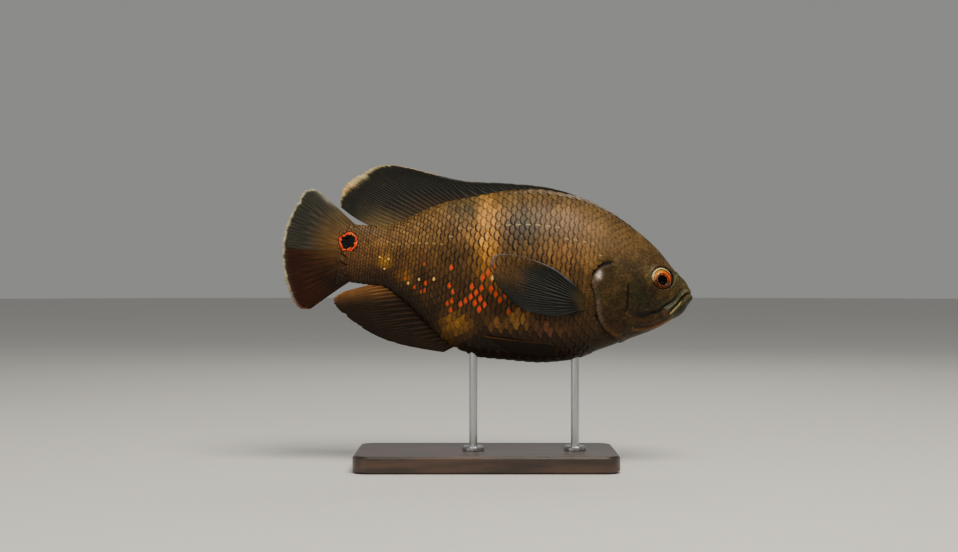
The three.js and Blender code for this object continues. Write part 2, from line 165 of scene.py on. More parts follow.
def section(d):
    """Top, bottom, widest height and half width of the body at a distance behind the snout."""
    in_nose = np.clip(1 - d / NOSE_LENGTH, 0, 1)
    closing = (1 - in_nose**NOSE_BLUNTNESS) ** (1 / NOSE_BLUNTNESS)
    top = NOSE_HEIGHT + (BACK(d) - NOSE_HEIGHT) * closing
    bottom = NOSE_HEIGHT + (BELLY(d) - NOSE_HEIGHT) * closing
    middle = NOSE_HEIGHT + (WIDEST_HEIGHT(d) - NOSE_HEIGHT) * closing
    return top, bottom, middle, HALF_WIDTH(d) * closing


def body_point(d, angle):
    """The body's surface at a distance behind the snout and an angle from the back."""
    top, bottom, middle, half = section(d)
    up, out = np.cos(angle), np.sin(angle)
    height = np.where(up > 0, middle + (top - middle) * up, middle + (middle - bottom) * up)
    power = np.where(up > 0, BACK_SHARPNESS(d), BELLY_SHARPNESS(d))
    return np.stack([-d, np.sign(out) * half * np.abs(out) ** power, height], -1)


def half_width_at(d, height):
    top, bottom, middle, half = section(d)
    above = height > middle
    up = np.clip(np.abs(height - middle) / np.where(above, top - middle, middle - bottom), 0, 1)
    power = np.where(above, BACK_SHARPNESS(d), BELLY_SHARPNESS(d))
    return half * np.sqrt(1 - up * up) ** power


def as_seen(d, z):
    """Where a point of the flank shows in the side view, lifted by the roll and spread by nearness."""
    out = half_width_at(np.clip(d, 0.5, BODY_LENGTH), z)
    near = out * MM / CAMERA_AWAY
    ahead, above = CAMERA_PLACE[0] / MM - SNOUT[0], CAMERA_PLACE[1] / MM - SNOUT[2]
    lifted = z * math.cos(ROLL) - out * math.sin(ROLL)
    return d + (ahead + d) * near, lifted + (z - above) * near


for mark in (30, 110, 200):
    sizes = [float(size) for size in section(mark)]
    print(mark, "mm behind the snout: top, bottom, widest height, half width", sizes)

# %% [markdown]
# ## Lines drawn on the head
# The mouth, the edge of the gill cover and the creases of the cheek are lines in the
# side view. Each one needs only a few points, and a smooth curve does the rest. What
# the skin does near a line depends on how far away the line is, and on which side.
# These points are where the lines show in the side view, so as_seen comes first.

# %% Lines and distances
def smooth_line(points, steps=24):
    points = np.array(points, float)
    padded = np.vstack([2 * points[0] - points[1], points, 2 * points[-1] - points[-2]])
    pieces = []
    for i in range(len(points) - 1):
        p0, p1, p2, p3 = padded[i : i + 4]
        t = np.linspace(0, 1, max(2, steps // (len(points) - 1)), endpoint=False)[:, None]
        pieces.append(
            0.5 * (2 * p1 + (p2 - p0) * t + (2 * p0 - 5 * p1 + 4 * p2 - p3) * t**2
                   + (3 * p1 - p0 - 3 * p2 + p3) * t**3)
        )
    return np.vstack(pieces + [points[-1:]])


def near_line(line, d, z):
    """Distance to a line, how far along it (0 to 1), and the side: positive is to the left of it."""
    best = np.full(np.shape(d), 1e9)
    along = np.zeros(np.shape(d))
    side = np.ones(np.shape(d))
    for i in range(len(line) - 1):
        (d0, z0), (d1, z1) = line[i], line[i + 1]
        span = np.array([d1 - d0, z1 - z0])
        t = np.clip(((d - d0) * span[0] + (z - z0) * span[1]) / (span @ span), 0, 1)
        gap = np.hypot(d - d0 - t * span[0], z - z0 - t * span[1])
        closer = gap < best
        best = np.where(closer, gap, best)
        along = np.where(closer, (i + t) / (len(line) - 1), along)
        cross = span[0] * (z - z0) - span[1] * (d - d0)
        side = np.where(closer, np.sign(cross), side)
    return best, along, side


MOUTH = smooth_line([[0.2, -1.7], [4.5, -6], [7.6, -10.8], [12.1, -16.5], [13.6, -18.4]])
LIP_CREASE = smooth_line([
    [3.2, 2.2], [4.4, 0.2], [8.2, -5.4], [10.7, -9.3], [14.8, -12.4], [17.1, -14.5], [19.7, -17.7],
    [24.4, -19.5], [33, -22],
], 40)
CHEEK_CREASE = smooth_line([[22, -18.5], [30, -21.5], [38, -23.6]])
CHIN_CREASE = smooth_line([[13, -21.5], [20, -26], [28, -29.5], [36, -31]])
GILL_EDGE = smooth_line([
    [56, 13.2], [60.5, 12.2], [66, 9.4], [70.3, 4.3], [72.2, -1], [70.6, -7.3], [68.3, -14.4],
    [65.6, -25.2], [62.7, -31.5], [58.5, -36.1], [53, -39.6], [45, -42.5], [36, -43],
], 60)
CHEEK_SLIT = smooth_line([[44.4, 2], [44.2, -4], [43.6, -12], [43.8, -19], [45, -22.5]])
LOWER_CHEEK = smooth_line([[46.5, -25.5], [44, -29.5], [39, -31], [33, -29.5]])
print("mouth line from", MOUTH[0], "to", MOUTH[-1])

# %% [markdown]
# ## Where the colours lie
# An oscar is mottled: an olive back, a gold-brown flank with one pale bar, a dark
# belly, darkened further by painted shade. Each patch here is a soft oval with a colour
# of its own, laid over a base that runs from back to belly. The skin, the scales and the
# root of the tail fin all ask this one function, so their markings meet.

# %% Markings
def colour(code):
    """Linear red, green and blue from a six-digit screen colour."""
    screen = np.array([int(code[i : i + 2], 16) for i in (0, 2, 4)]) / 255
    return np.where(screen <= 0.04045, screen / 12.92, ((screen + 0.055) / 1.055) ** 2.4)


def mixed(under, over, share):
    """Lays one colour over others, each by its own share."""
    share = np.asarray(share)[..., None]
    return under * (1 - share) + over * share


# From the belly at -1 over the widest height at 0 to the back at 1; the dark belly steps are its own colour
# with painted shade added
BELLY_TO_BACK = [
    (-1.0, "170d03"), (-0.72, "241504"), (-0.35, "3b240a"), (0.0, "553915"), (0.3, "664820"),
    (0.6, "654923"), (1.0, "544021"),
]
# Distance behind the snout, height, half length, half height, colour and strength
PATCHES = [
    (151, 30, 9, 20, "b47a2c", 0.75), (147, 8, 7, 12, "9c661e", 0.7), (144, -8, 6, 8, "95601f", 0.5),
    (92, 41, 13, 8, "7a5730", 0.6), (94, 17, 13, 9, "68451d", 0.7), (203, 18, 22, 7, "6b4c26", 0.7),
    (186, 34, 9, 8, "6d4f28", 0.5), (223, -4, 5, 5, "b07c24", 0.6), (207, -13, 7, 5, "8a5d18", 0.5),
    (120, -35, 9, 6, "96682a", 0.6), (136, -41, 7, 4, "7d5520", 0.5), (165, -44, 11, 7, "7c5316", 0.6),
    (190, -26, 12, 7, "3a270b", 0.5), (98, -39, 12, 4, "72452a", 0.6), (172, -57, 8, 4, "6b4512", 0.4),
    (168, 42, 13, 8, "3d3a24", 0.65), (123, 32, 13, 17, "26200c", 0.85), (134, 12, 6, 10, "362814", 0.5),
    (116, 2, 14, 12, "2e200c", 0.65), (170, 6, 12, 18, "33240e", 0.65), (212, 5, 8, 8, "3d2a12", 0.4),
    (140, -50, 16, 7, "140b02", 0.7), (85, -52, 24, 10, "1c1004", 0.7), (86, -30, 9, 12, "3a2611", 0.7),
    (240, 2, 14, 16, "59391a", 0.7), (236, 16, 14, 5, "4c3519", 0.6), (228, -15, 20, 6, "2c1a08", 0.6),
    (158, -18, 16, 14, "2c1a06", 0.4), (80, -2, 8, 12, "221809", 0.75),
]
HEAD_PATCHES = [
    (26, 24, 34, 20, "4c381c", 0.9), (52, 36, 24, 18, "58401f", 0.8), (8, 6, 13, 10, "3f3820", 0.9),
    # The first two patches on the line below darken the cheek under the eye: its own dark olive, with
    # painted shade added.
    (38, -6, 19, 20, "17160a", 0.92), (26, -12, 12, 9, "1e1d0f", 0.7), (60, -12, 14, 26, "33260f", 0.9),
    (61, 8, 10, 8, "2a2413", 0.7), (54, -30, 14, 9, "2c1c08", 0.8), (34, -28, 22, 6, "2a1a08", 0.8),
    (24, -27, 16, 4, "4a3010", 0.6), (12, -13, 9, 7, "36341f", 0.8), (33, 13, 9, 4, "4a3f24", 0.5),
    (10.6, 9.1, 1.6, 4, "7c764c", 0.6),
]
# Limits of the random blobs: distance behind the snout, height, radius, and how much lighter
MOTTLE_LIMITS = ((44, 246), (-60, 60), (3.5, 8), (-0.42, 0.5))
MOTTLE_COUNT = 130


def mottles(seed):
    rng = np.random.default_rng(seed)
    return np.stack([rng.uniform(low, high, MOTTLE_COUNT) for low, high in MOTTLE_LIMITS], 1)


MOTTLES = mottles(7)


def tint(d, z):
    """The colour of the fish at a distance behind the snout and a height."""
    top, bottom, middle, _ = section(np.clip(d, 0.5, BODY_LENGTH))
    reach = np.where(z > middle, top - middle, middle - bottom)
    level = np.clip((z - middle) / np.maximum(reach, 1), -1, 1)
    steps = np.array([step for step, _ in BELLY_TO_BACK])
    shades = np.array([colour(code) for _, code in BELLY_TO_BACK])
    found = np.stack([np.interp(level, steps, shades[:, c]) for c in range(3)], -1)
    d, z = as_seen(d, z)
    for at, height, long, high, code, strength in PATCHES + HEAD_PATCHES:
        oval = ((d - at) / long) ** 2 + ((z - height) / high) ** 2
        found = mixed(found, colour(code), strength * np.exp(-(oval**1.2)))
    for at, height, radius, change in MOTTLES:
        near = np.exp(-((d - at) ** 2 + (z - height) ** 2) / radius**2)
        found = found * (1 + change * near)[..., None]
    return found


print("colour halfway up the flank:", tint(np.array(110.0), np.array(0.0)).round(3))

# %% [markdown]
# ## Meshes from grids
# Skin and fins are both made from grids of points, so one helper turns a grid into
# faces, and another wraps arrays as a mesh object with its colours. The arrays hold
# the fish's own millimetres until the very end, when they are posed.

# %% Mesh helpers
def grid_faces(rows, columns, closed=False, first=0):
    steps = np.arange(columns if closed else columns - 1)
    i, j = np.meshgrid(np.arange(rows - 1), steps, indexing="ij")
    here, beside = i * columns + j, i * columns + (j + 1) % columns
    quads = np.stack([here, beside, beside + columns, here + columns], -1)
    return (quads.reshape(-1, 4) + first).tolist()


def capped_faces(rows, sides):
    """Faces over rings of points, closed by two poles that come after the last ring."""
    last, pole = (rows - 1) * sides, rows * sides
    faces = grid_faces(rows, sides, closed=True)
    faces += [[pole, (j + 1) % sides, j] for j in range(sides)]
    faces += [[pole + 1, last + j, last + (j + 1) % sides] for j in range(sides)]
    return faces


def fill(attribute, values):
    """Gives an attribute its values, one or more numbers for each point."""
    field = {"FLOAT": "value", "FLOAT_VECTOR": "vector", "FLOAT_COLOR": "color"}[attribute.data_type]
    attribute.data.foreach_set(field, np.asarray(values, np.float32).ravel())


def opaque(colours):
    return np.concatenate([colours, np.ones((len(colours), 1))], 1)


def new_piece(name, points, faces, colours=None, **values):
    mesh = bpy.data.meshes.new(name)
    mesh.from_pydata(to_world(points).tolist(), [], faces)
    mesh.update()
    if colours is not None:
        fill(mesh.color_attributes.new("tint", "FLOAT_COLOR", "POINT"), opaque(colours))
    for key, numbers in values.items():
        fill(mesh.attributes.new(key, "FLOAT", "POINT"), numbers)
    mesh.polygons.foreach_set("use_smooth", [True] * len(mesh.polygons))
    return add_object(name, mesh)


def point_outwards(piece):
    mesh = bmesh.new()
    mesh.from_mesh(piece.data)
    bmesh.ops.recalc_face_normals(mesh, faces=mesh.faces)
    mesh.to_mesh(piece.data)
    mesh.free()


print("faces of a closed grid of 3 rings of 4 points, with its caps:", len(capped_faces(3, 4)))

# %% [markdown]
# ## Nodes written as sums
# A material's maths reads best as plain arithmetic. One small class wraps a socket,
# so that adding two of them adds a Math node, and one method makes every other node.
# Colours never pass through a Math node, which would turn them grey: they are mixed,
# or scaled as vectors.

# %% Shader helpers
class Value:
    """A socket that Python's own operators work on, each by adding a Math node."""

    def __init__(self, finish, socket):
        self.finish = finish
        self.socket = socket

    def maths(self, operation, first, second):
        return self.finish.node("ShaderNodeMath", {"operation": operation}, {0: first, 1: second})

    def __add__(self, other):
        return self.maths("ADD", self, other)

    def __sub__(self, other):
        return self.maths("SUBTRACT", self, other)

    def __rsub__(self, other):
        return self.maths("SUBTRACT", other, self)

    def __mul__(self, other):
        return self.maths("MULTIPLY", self, other)

    def __pow__(self, other):
        return self.maths("POWER", self, other)

    def __rpow__(self, other):
        return self.maths("POWER", other, self)

    __radd__ = __add__
    __rmul__ = __mul__

    def ramp(self, low, high, start=0.0, end=1.0):
        """Smoothly from start to end as this goes from low to high, which may be the smaller one."""
        inputs = {0: self, 1: low, 2: high, 3: start, 4: end}
        return self.finish.node("ShaderNodeMapRange", {"interpolation_type": "SMOOTHSTEP"}, inputs)


class Finish:
    """A material under construction."""

    def __init__(self, name, **constants):
        self.material = bpy.data.materials.new(name)
        self.material.use_nodes = True
        self.nodes = self.material.node_tree.nodes
        self.links = self.material.node_tree.links
        self.shader = self.nodes["Principled BSDF"]
        for socket, value in constants.items():
            self.shader.inputs[socket.replace("_", " ")].default_value = value

    def node(self, kind, settings=None, inputs=None, output=0):
        """A new node of a kind: its settings first, then the values or links of its sockets."""
        made = self.nodes.new(kind)
        for key, value in (settings or {}).items():
            setattr(made, key, value)
        for key, value in (inputs or {}).items():
            self.feed(made.inputs[key], value)
        return Value(self, made.outputs[output])

    def feed(self, socket, value):
        if isinstance(value, Value):
            self.links.new(value.socket, socket)
        elif hasattr(value, "__len__") and socket.type == "RGBA":
            socket.default_value = (*value[:3], 1)
        else:
            socket.default_value = value

    def mix(self, share, under, over):
        """Two colours, the second laid over the first by a share."""
        return self.node("ShaderNodeMix", {"data_type": "RGBA"}, {0: share, 6: under, 7: over}, output=2)

    def vector_maths(self, operation, inputs, output=0):
        return self.node("ShaderNodeVectorMath", {"operation": operation}, inputs, output)

    def scaled(self, shade, factor):
        return self.vector_maths("SCALE", {0: shade, "Scale": factor})

    def place(self):
        return self.node("ShaderNodeTexCoord", output="Object")

    def stretched(self, factors):
        """The place in the scene, multiplied along each axis: a pattern on it is drawn out or squeezed."""
        return self.vector_maths("MULTIPLY", {0: self.place(), 1: factors})

    def attribute(self, name, output="Fac"):
        return self.node("ShaderNodeAttribute", {"attribute_name": name}, output=output)

    def noise(self, scale, detail, vector=None):
        inputs = {"Vector": vector or self.place(), "Scale": scale, "Detail": detail}
        return self.node("ShaderNodeTexNoise", None, inputs)

    def bump(self, height, distance, strength=1.0):
        inputs = {"Height": height, "Distance": distance, "Strength": strength}
        self.feed(self.shader.inputs["Normal"], self.node("ShaderNodeBump", None, inputs))

    def set(self, **inputs):
        """Feeds the shader's own sockets, named with _ for a space."""
        for socket, value in inputs.items():
            self.feed(self.shader.inputs[socket.replace("_", " ")], value)

    def lying(self):
        """Distance behind the snout and height, in millimetres, from the place in the scene."""
        offset = self.vector_maths("SUBTRACT", {0: self.place(), 1: tuple(SNOUT * MM)})
        ahead, _, up = TURN.T
        behind = self.vector_maths("DOT_PRODUCT", {0: offset, 1: tuple(-ahead / MM)}, "Value")
        height = self.vector_maths("DOT_PRODUCT", {0: offset, 1: tuple(up / MM)}, "Value")
        return behind, height


# %% [markdown]
# ## The eye spot
# A black spot ringed with flame orange sits where the tail stem meets the tail fin.
# It crosses skin, scales and fin, so it is drawn by the materials, from the place
# alone: a wobbling circle, with a thin black line round the ring.

# %% Eye spot
EYE_SPOT = {"behind": 252.4, "height": 7.3, "radius": 5.6, "ring": 1.5, "narrower": 1.05, "wobble": 5.5}


def with_eye_spot(finish, shade):
    """Draws the eye spot over the colours of a skin, a scale or a fin."""
    behind, height = finish.lying()
    across = (behind - EYE_SPOT["behind"]) * EYE_SPOT["narrower"]
    up = height - EYE_SPOT["height"]
    out = (across * across + up * up) ** 0.5
    reach = out + (finish.noise(330, 3) - 0.5) * EYE_SPOT["wobble"]
    inner = EYE_SPOT["radius"]
    outer = inner + EYE_SPOT["ring"]
    flame = finish.mix(finish.noise(500, 2).ramp(0.35, 0.65), colour("d01c00"), colour("e86410"))
    shade = finish.mix(reach.ramp(outer + 1.3, outer + 0.5), shade, colour("060402"))
    shade = finish.mix(reach.ramp(outer + 0.3, outer - 0.3), shade, flame)
    return finish.mix(reach.ramp(inner + 0.3, inner - 0.3), shade, colour("020202"))


print("eye spot with its ring:", 2 * (EYE_SPOT["radius"] + EYE_SPOT["ring"]), "mm across")

# %% [markdown]
# ## The skin
# One closed skin covers head, jaw, gill covers, trunk and tail stem, because a real
# fish has no seams there. Its small forms could be sculpted by hand. Here each is a
# formula on the distance to one of the head's lines, so it can be moved and resized.
# Every form tells two things: how far it lifts the skin, and how much shade is painted into the hollows it
# makes.

# %% Lips, creases and the gill cover
MOUTH_CORNER = (15.6, -17.5)
# Each crease with its width, depth, the darkness of the shade painted into it, and the share of its length
# that it fades in over
CREASES = [
    (LIP_CREASE, 1.15, 1.4, 1.0, 0.3), (CHEEK_CREASE, 2.0, 0.9, 0.7, 0.1),
    (CHIN_CREASE, 1.0, 0.7, 0.4, 0.2), (CHEEK_SLIT, 0.85, 1.0, 1.0, 0.1), (LOWER_CHEEK, 1.0, 0.5, 0.4, 0.2),
]


def lip_relief(d, z):
    """Rounded lips along both sides of the mouth, a full chin below and a fleshy corner, with painted shade
    in the split between them.
    """
    gap, along, side = near_line(MOUTH, d, z)
    lip_end = 1 - smooth(along, 0.82, 1.0)
    upper = np.where(side > 0, bump_at(gap - 2.0, 1.5), 0) * lip_end
    lower = np.where(side <= 0, bump_at(gap - 2.3, 1.9), 0) * lip_end
    split = bump_at(gap, 0.4) * (1 - smooth(along, 0.94, 1.0))
    chin = smooth(11 - d, 0, 8) * smooth(gap, 0.3, 2) * smooth(13 - gap, 0, 6) * (side <= 0)
    corner = bump_at(np.hypot(d - MOUTH_CORNER[0], z - MOUTH_CORNER[1]), 2.6)
    return 1.5 * upper + 1.3 * lower + 1.9 * chin + 0.8 * corner - 1.6 * split, 0.95 * split


def crease_relief(d, z):
    height, dark = np.zeros(np.shape(d)), np.zeros(np.shape(d))
    for line, width, depth, shade, start in CREASES:
        gap, along, _ = near_line(line, d, z)
        faded = smooth(along, 0.0, start) * (1 - smooth(along, 0.8, 1.0))
        height -= depth * bump_at(gap, width) * faded
        dark = np.maximum(dark, shade * bump_at(gap, width * 0.7) * faded)
    return height, dark


def gill_relief(d, z):
    """The cover's flap swells towards its edge, and a gutter lies behind it, widest at the top."""
    gap, along, side = near_line(GILL_EDGE, d, z)
    inside = (side < 0) & (d > 30)
    faded = smooth(along, 0.0, 0.07) * (1 - smooth(along, 0.86, 1.0))
    open_top = 1 - smooth(along, 0.2, 0.36)
    flap = smooth(18 - gap, 0, 14) * 0.95 + 0.3 * bump_at(gap - 1.4, 1.3)
    flap *= smooth(gap, -0.3, 0.8)
    gutter = -(0.9 + 0.5 * open_top) * bump_at(gap - 0.6, 1.3 + 0.9 * open_top)
    shadow = np.where(inside, 0.25 * bump_at(gap, 0.7), smooth(0.9 + 2.1 * open_top - gap, 0, 0.7))
    return np.where(inside, flap * smooth(d, 36, 46), gutter) * faded, shadow * faded


print("creases on each cheek:", len(CREASES))

# %% [markdown]
# ### Socket, nostril and pores
# The eye sits in a socket with a raised rim, the nostril in a ring, and a few sense
# pores dot the head. All are round, so each is a formula on the distance to a centre.
# Added to the lips and creases, they give the relief of the whole skin.

# %% Eye socket, nostril and pores
EYE = {"behind": 21.6, "height": 5.1, "radius": 8.3, "depth": 5.4, "sunk": 2.5}
SOCKET = {"rim": 9.3, "radius": 8.7, "depth": 4.2}
NOSTRIL = (10.8, 10.6)
PORES = [(34.7, 19.6), (29.5, 15.5), (17.5, 16.5), (33.5, 6), (31, -6), (25.5, -11), (44, 22), (39, -16)]


def socket_relief(from_eye):
    sunk = SOCKET["depth"] * smooth(SOCKET["radius"] - from_eye, 0, 1.2)
    # The socket's floor round the eye gets painted shade.
    return 0.8 * bump_at(from_eye - SOCKET["rim"], 1.2) - sunk, 0.9 * smooth(8.9 - from_eye, 0, 0.7)


def pit_relief(d, z):
    """The nostril in its raised ring, and the small pores of the head, each with painted shade in it."""
    out = np.hypot(d - NOSTRIL[0], z - NOSTRIL[1])
    height = 0.5 * bump_at(out - 1.7, 0.6) - 1.5 * bump_at(out, 0.9)
    dark = bump_at(out, 0.9)
    for at, level in PORES:
        out = np.hypot(d - at, z - level)
        height -= 0.35 * bump_at(out, 0.6)
        dark = np.maximum(dark, 0.6 * bump_at(out, 0.5))
    return height, dark


def skin_relief(d, z):
    """How far the skin stands out in millimetres, and how much shade is painted into the hollows."""
    from_eye = np.hypot(d - EYE["behind"], z - EYE["height"])
    seen = as_seen(d, z)
    forms = [lip_relief(*seen), crease_relief(*seen), gill_relief(*seen), socket_relief(from_eye),
             pit_relief(*seen)]
    heights, darks = zip(*forms)
    return sum(heights), np.maximum.reduce(darks)


height, dark = skin_relief(np.array([EYE["behind"]]), np.array([EYE["height"]]))
print("the eye socket is", round(-float(height[0]), 1), "mm deep")

# %% [markdown]
# ### Colours of the head's lines
# The lips are olive, each with a painted highlight along it, the cover's rim is
# brighter than the cheek, a painted highlight sits at the cover's top, and a band under
# the chin crease is painted as a highlight. A painted texture could carry these. They
# are worked out from the same lines as the relief instead, so colour and form agree.

# %% Colours of the head
def head_tint(d, z, found):
    """Lays the colours of the lips, the gill cover's rim and the chin over those found, with painted
    highlights on the lips, the cover and the jaw.
    """
    d, z = as_seen(d, z)
    gap, along, side = near_line(MOUTH, d, z)
    lip = (1 - smooth(along, 0.8, 1.0)) * (d < 22)
    # pale is a painted highlight along the lower lip, just below the mouth line.
    pale = bump_at(gap - 1.15, 0.45) * lip * (side <= 0) * smooth(along, 0.25, 0.5)
    inner = bump_at(gap - 0.9, 0.6) * (side <= 0) * smooth(0.3 - along, 0, 0.2)
    found = mixed(found, colour("33361f"), 0.75 * bump_at(gap - 2.2, 2.2) * lip)
    found = mixed(found, colour("c8b478"), 0.75 * pale)
    found = mixed(found, colour("6b4a2c"), 0.6 * inner)
    # A painted highlight along the ridge of the upper lip.
    found = mixed(found, colour("72704a"), 0.5 * bump_at(gap - 2.2, 0.6) * lip * (side > 0))
    found = mixed(found, colour("7a4f30"), 0.6 * bump_at(np.hypot(d - 15.8, z + 17.8), 2.2))
    gap, along, side = near_line(GILL_EDGE, d, z)
    rim = np.where((side < 0) & (d > 40), bump_at(gap - 2.0, 2.0), 0)
    middle = smooth(along, 0.2, 0.3) * (1 - smooth(along, 0.6, 0.85))
    lower = smooth(along, 0.6, 0.8) * (1 - smooth(along, 0.9, 1))
    found = mixed(found, colour("5c4a42"), 0.5 * rim * middle)
    found = mixed(found, colour("5a3c1c"), 0.6 * rim * lower)
    # A painted highlight at the top of the gill cover.
    painted_highlight = bump_at(np.hypot((d - 66.9) / 1.9, (z - 3.6) / 2.8), 1.0)
    found = mixed(found, colour("f0dcd0"), 0.8 * painted_highlight)
    # An orange-brown band below the chin crease, painted as the highlight on the side of the lower jaw.
    gap, along, side = near_line(CHIN_CREASE, d, z)
    return mixed(found, colour("6e4716"), 0.6 * bump_at(gap - 2.0, 1.2) * (side < 0) * (d < 40))


lip = np.array([5.0]), np.array([-4.0])
print("colour of the upper lip:", head_tint(*lip, tint(*lip)).round(3))

# %% [markdown]
# ### The skin's mesh
# A grid of rings runs from the lips to the tail stem. The rings crowd together on the
# head, where the small forms are, and the points of each ring crowd towards its sides,
# where the eye and cheek are. A pole closes each end.

# %% Skin mesh
# Where each spacing of the rings starts, and the spacing
RING_STEPS = [
    (0, 0.15), (1, 0.25), (4, 0.4), (20, 0.45), (36, 0.45), (50, 0.35), (76, 0.6), (86, 1.6), (240, 1.0),
]
SKIN_SIDES = 232
SIDE_CROWDING = 0.35


def ring_places():
    places = []
    ends = [start for start, _ in RING_STEPS[1:]] + [BODY_LENGTH]
    for (start, step), end in zip(RING_STEPS, ends):
        places.append(np.arange(start, end - step / 2, step))
    return np.concatenate(places + [[BODY_LENGTH]])[1:]


def skin_grid():
    """Distances, points and outward normals of the plain body, ring by ring."""
    turn = np.arange(SKIN_SIDES) / SKIN_SIDES * 2 * np.pi
    d, angle = np.meshgrid(ring_places(), turn + SIDE_CROWDING * np.sin(2 * turn) / 2, indexing="ij")
    points = body_point(d, angle)
    along = np.gradient(points, axis=0)
    around = np.roll(points, -1, 1) - np.roll(points, 1, 1)
    normal = np.cross(around, along)
    normal /= np.linalg.norm(normal, axis=-1, keepdims=True)
    outward = points * [0, 1, 0] + [0, 0, 1] * (points[..., 2:] - NOSE_HEIGHT)
    flip = np.sign((normal * outward).sum(-1).mean())
    return d, points, normal * flip


def make_skin():
    d, points, normal = skin_grid()
    z = points[..., 2]
    height, dark = skin_relief(d, z)
    points = points + normal * height[..., None]
    flat = np.vstack([points.reshape(-1, 3), points[0].mean(0), points[-1].mean(0)])
    d, z = -flat[:, 0], flat[:, 2]
    hollow = np.concatenate([dark.ravel(), [0, 0]])
    piece = new_piece("skin", flat, capped_faces(*height.shape), head_tint(d, z, tint(d, z)), hollow=hollow)
    point_outwards(piece)
    return piece


skin = make_skin()
print("skin:", len(skin.data.polygons), "faces")

# %% [markdown]
# ### The skin's finish
# The skin is wet and finely grained. Its colour comes from the markings, broken up
# by noise at two sizes, and shade is painted into the hollows.

# %% Skin finish
def skin_finish():
    finish = Finish("wet_skin", Roughness=0.5, Coat_Roughness=0.2, Specular_IOR_Level=0.12)
    shade = finish.attribute("tint", "Color")
    mottle = finish.noise(110, 4).ramp(0.3, 0.7, 0.66, 1.3)
    speckle = finish.noise(620, 4).ramp(0.32, 0.7, 0.6, 1.4)
    shade = finish.mix(finish.noise(70, 3).ramp(0.45, 0.7) * 0.45, shade, colour("2e2f16"))
    shade = finish.mix(finish.noise(240, 4).ramp(0.56, 0.72) * 0.35, shade, colour("6a4e2c"))
    shade = finish.scaled(shade, mottle * speckle)
    # Painted shade in the creases, the lip split, the gutter behind the gill cover, the socket, the nostril
    # and the pores.
    shade = finish.mix(finish.attribute("hollow") * 0.93, shade, colour("050506"))
    shade = with_eye_spot(finish, shade)
    grain = finish.node("ShaderNodeTexVoronoi", {"feature": "SMOOTH_F1"}, {"Scale": 520})
    finish.set(Base_Color=shade, Coat_Weight=0.04)
    finish.bump(grain * 0.5 + finish.noise(1400, 2) * 0.5, 0.00025, 0.55)
    return finish.material


wet_skin = skin_finish()
print("skin finish:", len(wet_skin.node_tree.nodes), "nodes")
skin.data.materials.append(wet_skin)
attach(skin, "root")
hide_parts("head", "lower_jaw", "gill_cover_left", "gill_cover_right", "trunk", "tail_stem")

# %% [markdown]
# ## Fins
# A fin is a thin web stretched over rays. Each ray starts single at the root and
# forks on its way out, so the ribs get finer towards the edge. A fin here is a grid
# between a root curve and a tip curve, with the ribs raised on both faces and a
# slightly torn margin. Rays come from a formula, so their number is one value.

# %% Fin curves
WEB_HALF = 0.24
RIB = 0.32
ROOT_SUNK = 3.0


def curve_through(points):
    """A smooth curve on the fish's midline, as a function of 0 to 1."""
    line = smooth_line([[-d, 0, z] for d, z in points], 40 * (len(points) - 1))
    at = np.linspace(0, 1, len(line))
    return lambda s: np.stack([np.interp(s, at, line[:, k]) for k in range(3)], -1)


def along_edge(edge, start, end, sunk):
    """A fin's root along the back or belly, sunk a little into the body."""

    def root(s):
        d = start + (end - start) * s
        return np.stack([-d, np.zeros_like(d), edge(d) - sunk], -1)

    return root


def on_flank(d, z, out=0.0):
    """The left flank's surface at a distance and height, or a little out from it."""
    d, z, out = np.broadcast_arrays(d, z, out)
    return np.stack([-d, half_width_at(d, z) + out, z], -1)


def ribs(s, t, rays):
    """Height of the ribs, 0 to 1, forking twice on the way out."""

    def comb(count, shift=0.5):
        return (0.5 + 0.5 * np.cos(2 * np.pi * (count * s - shift))) ** 3

    once = smooth(t, 0.34, 0.5)
    twice = smooth(t, 0.66, 0.8)
    single = comb(rays) * (1 - once)
    forked = comb(2 * rays, 0) * once * (1 - twice)
    finest = comb(4 * rays) * twice
    return single + 0.8 * forked + 0.55 * finest


print("ribs of four rays a tenth of the way out:", ribs(np.linspace(0, 0.25, 5), 0.1, 4).round(2))

# %% [markdown]
# ### Fin sheets
# A real fin has skin on both sides of its rays, so one sheet carries two faces with
# the rays raised on both, and a border that closes them. A Solidify modifier could
# thicken a plain sheet, but it would thicken web and rays alike.

# %% Fin sheets
RIB_COLUMNS = 16  # columns of the grid for each ray
FIN_ROWS = 34  # rows from root to tip, where a fin asks for no other number
BORDER_THINS = 0.6


def torn(s, seed, count, depth):
    """A ragged share to take off a fin's margin along its length."""
    rng = np.random.default_rng(seed)
    fine = np.interp(s, np.linspace(0, 1, count * 4), rng.random(count * 4))
    wide = np.interp(s, np.linspace(0, 1, count), rng.random(count))
    nicks = np.interp(s, np.linspace(0, 1, count * 2), rng.random(count * 2) ** 6)
    return depth * (0.35 * fine + 0.3 * wide + 0.9 * nicks)


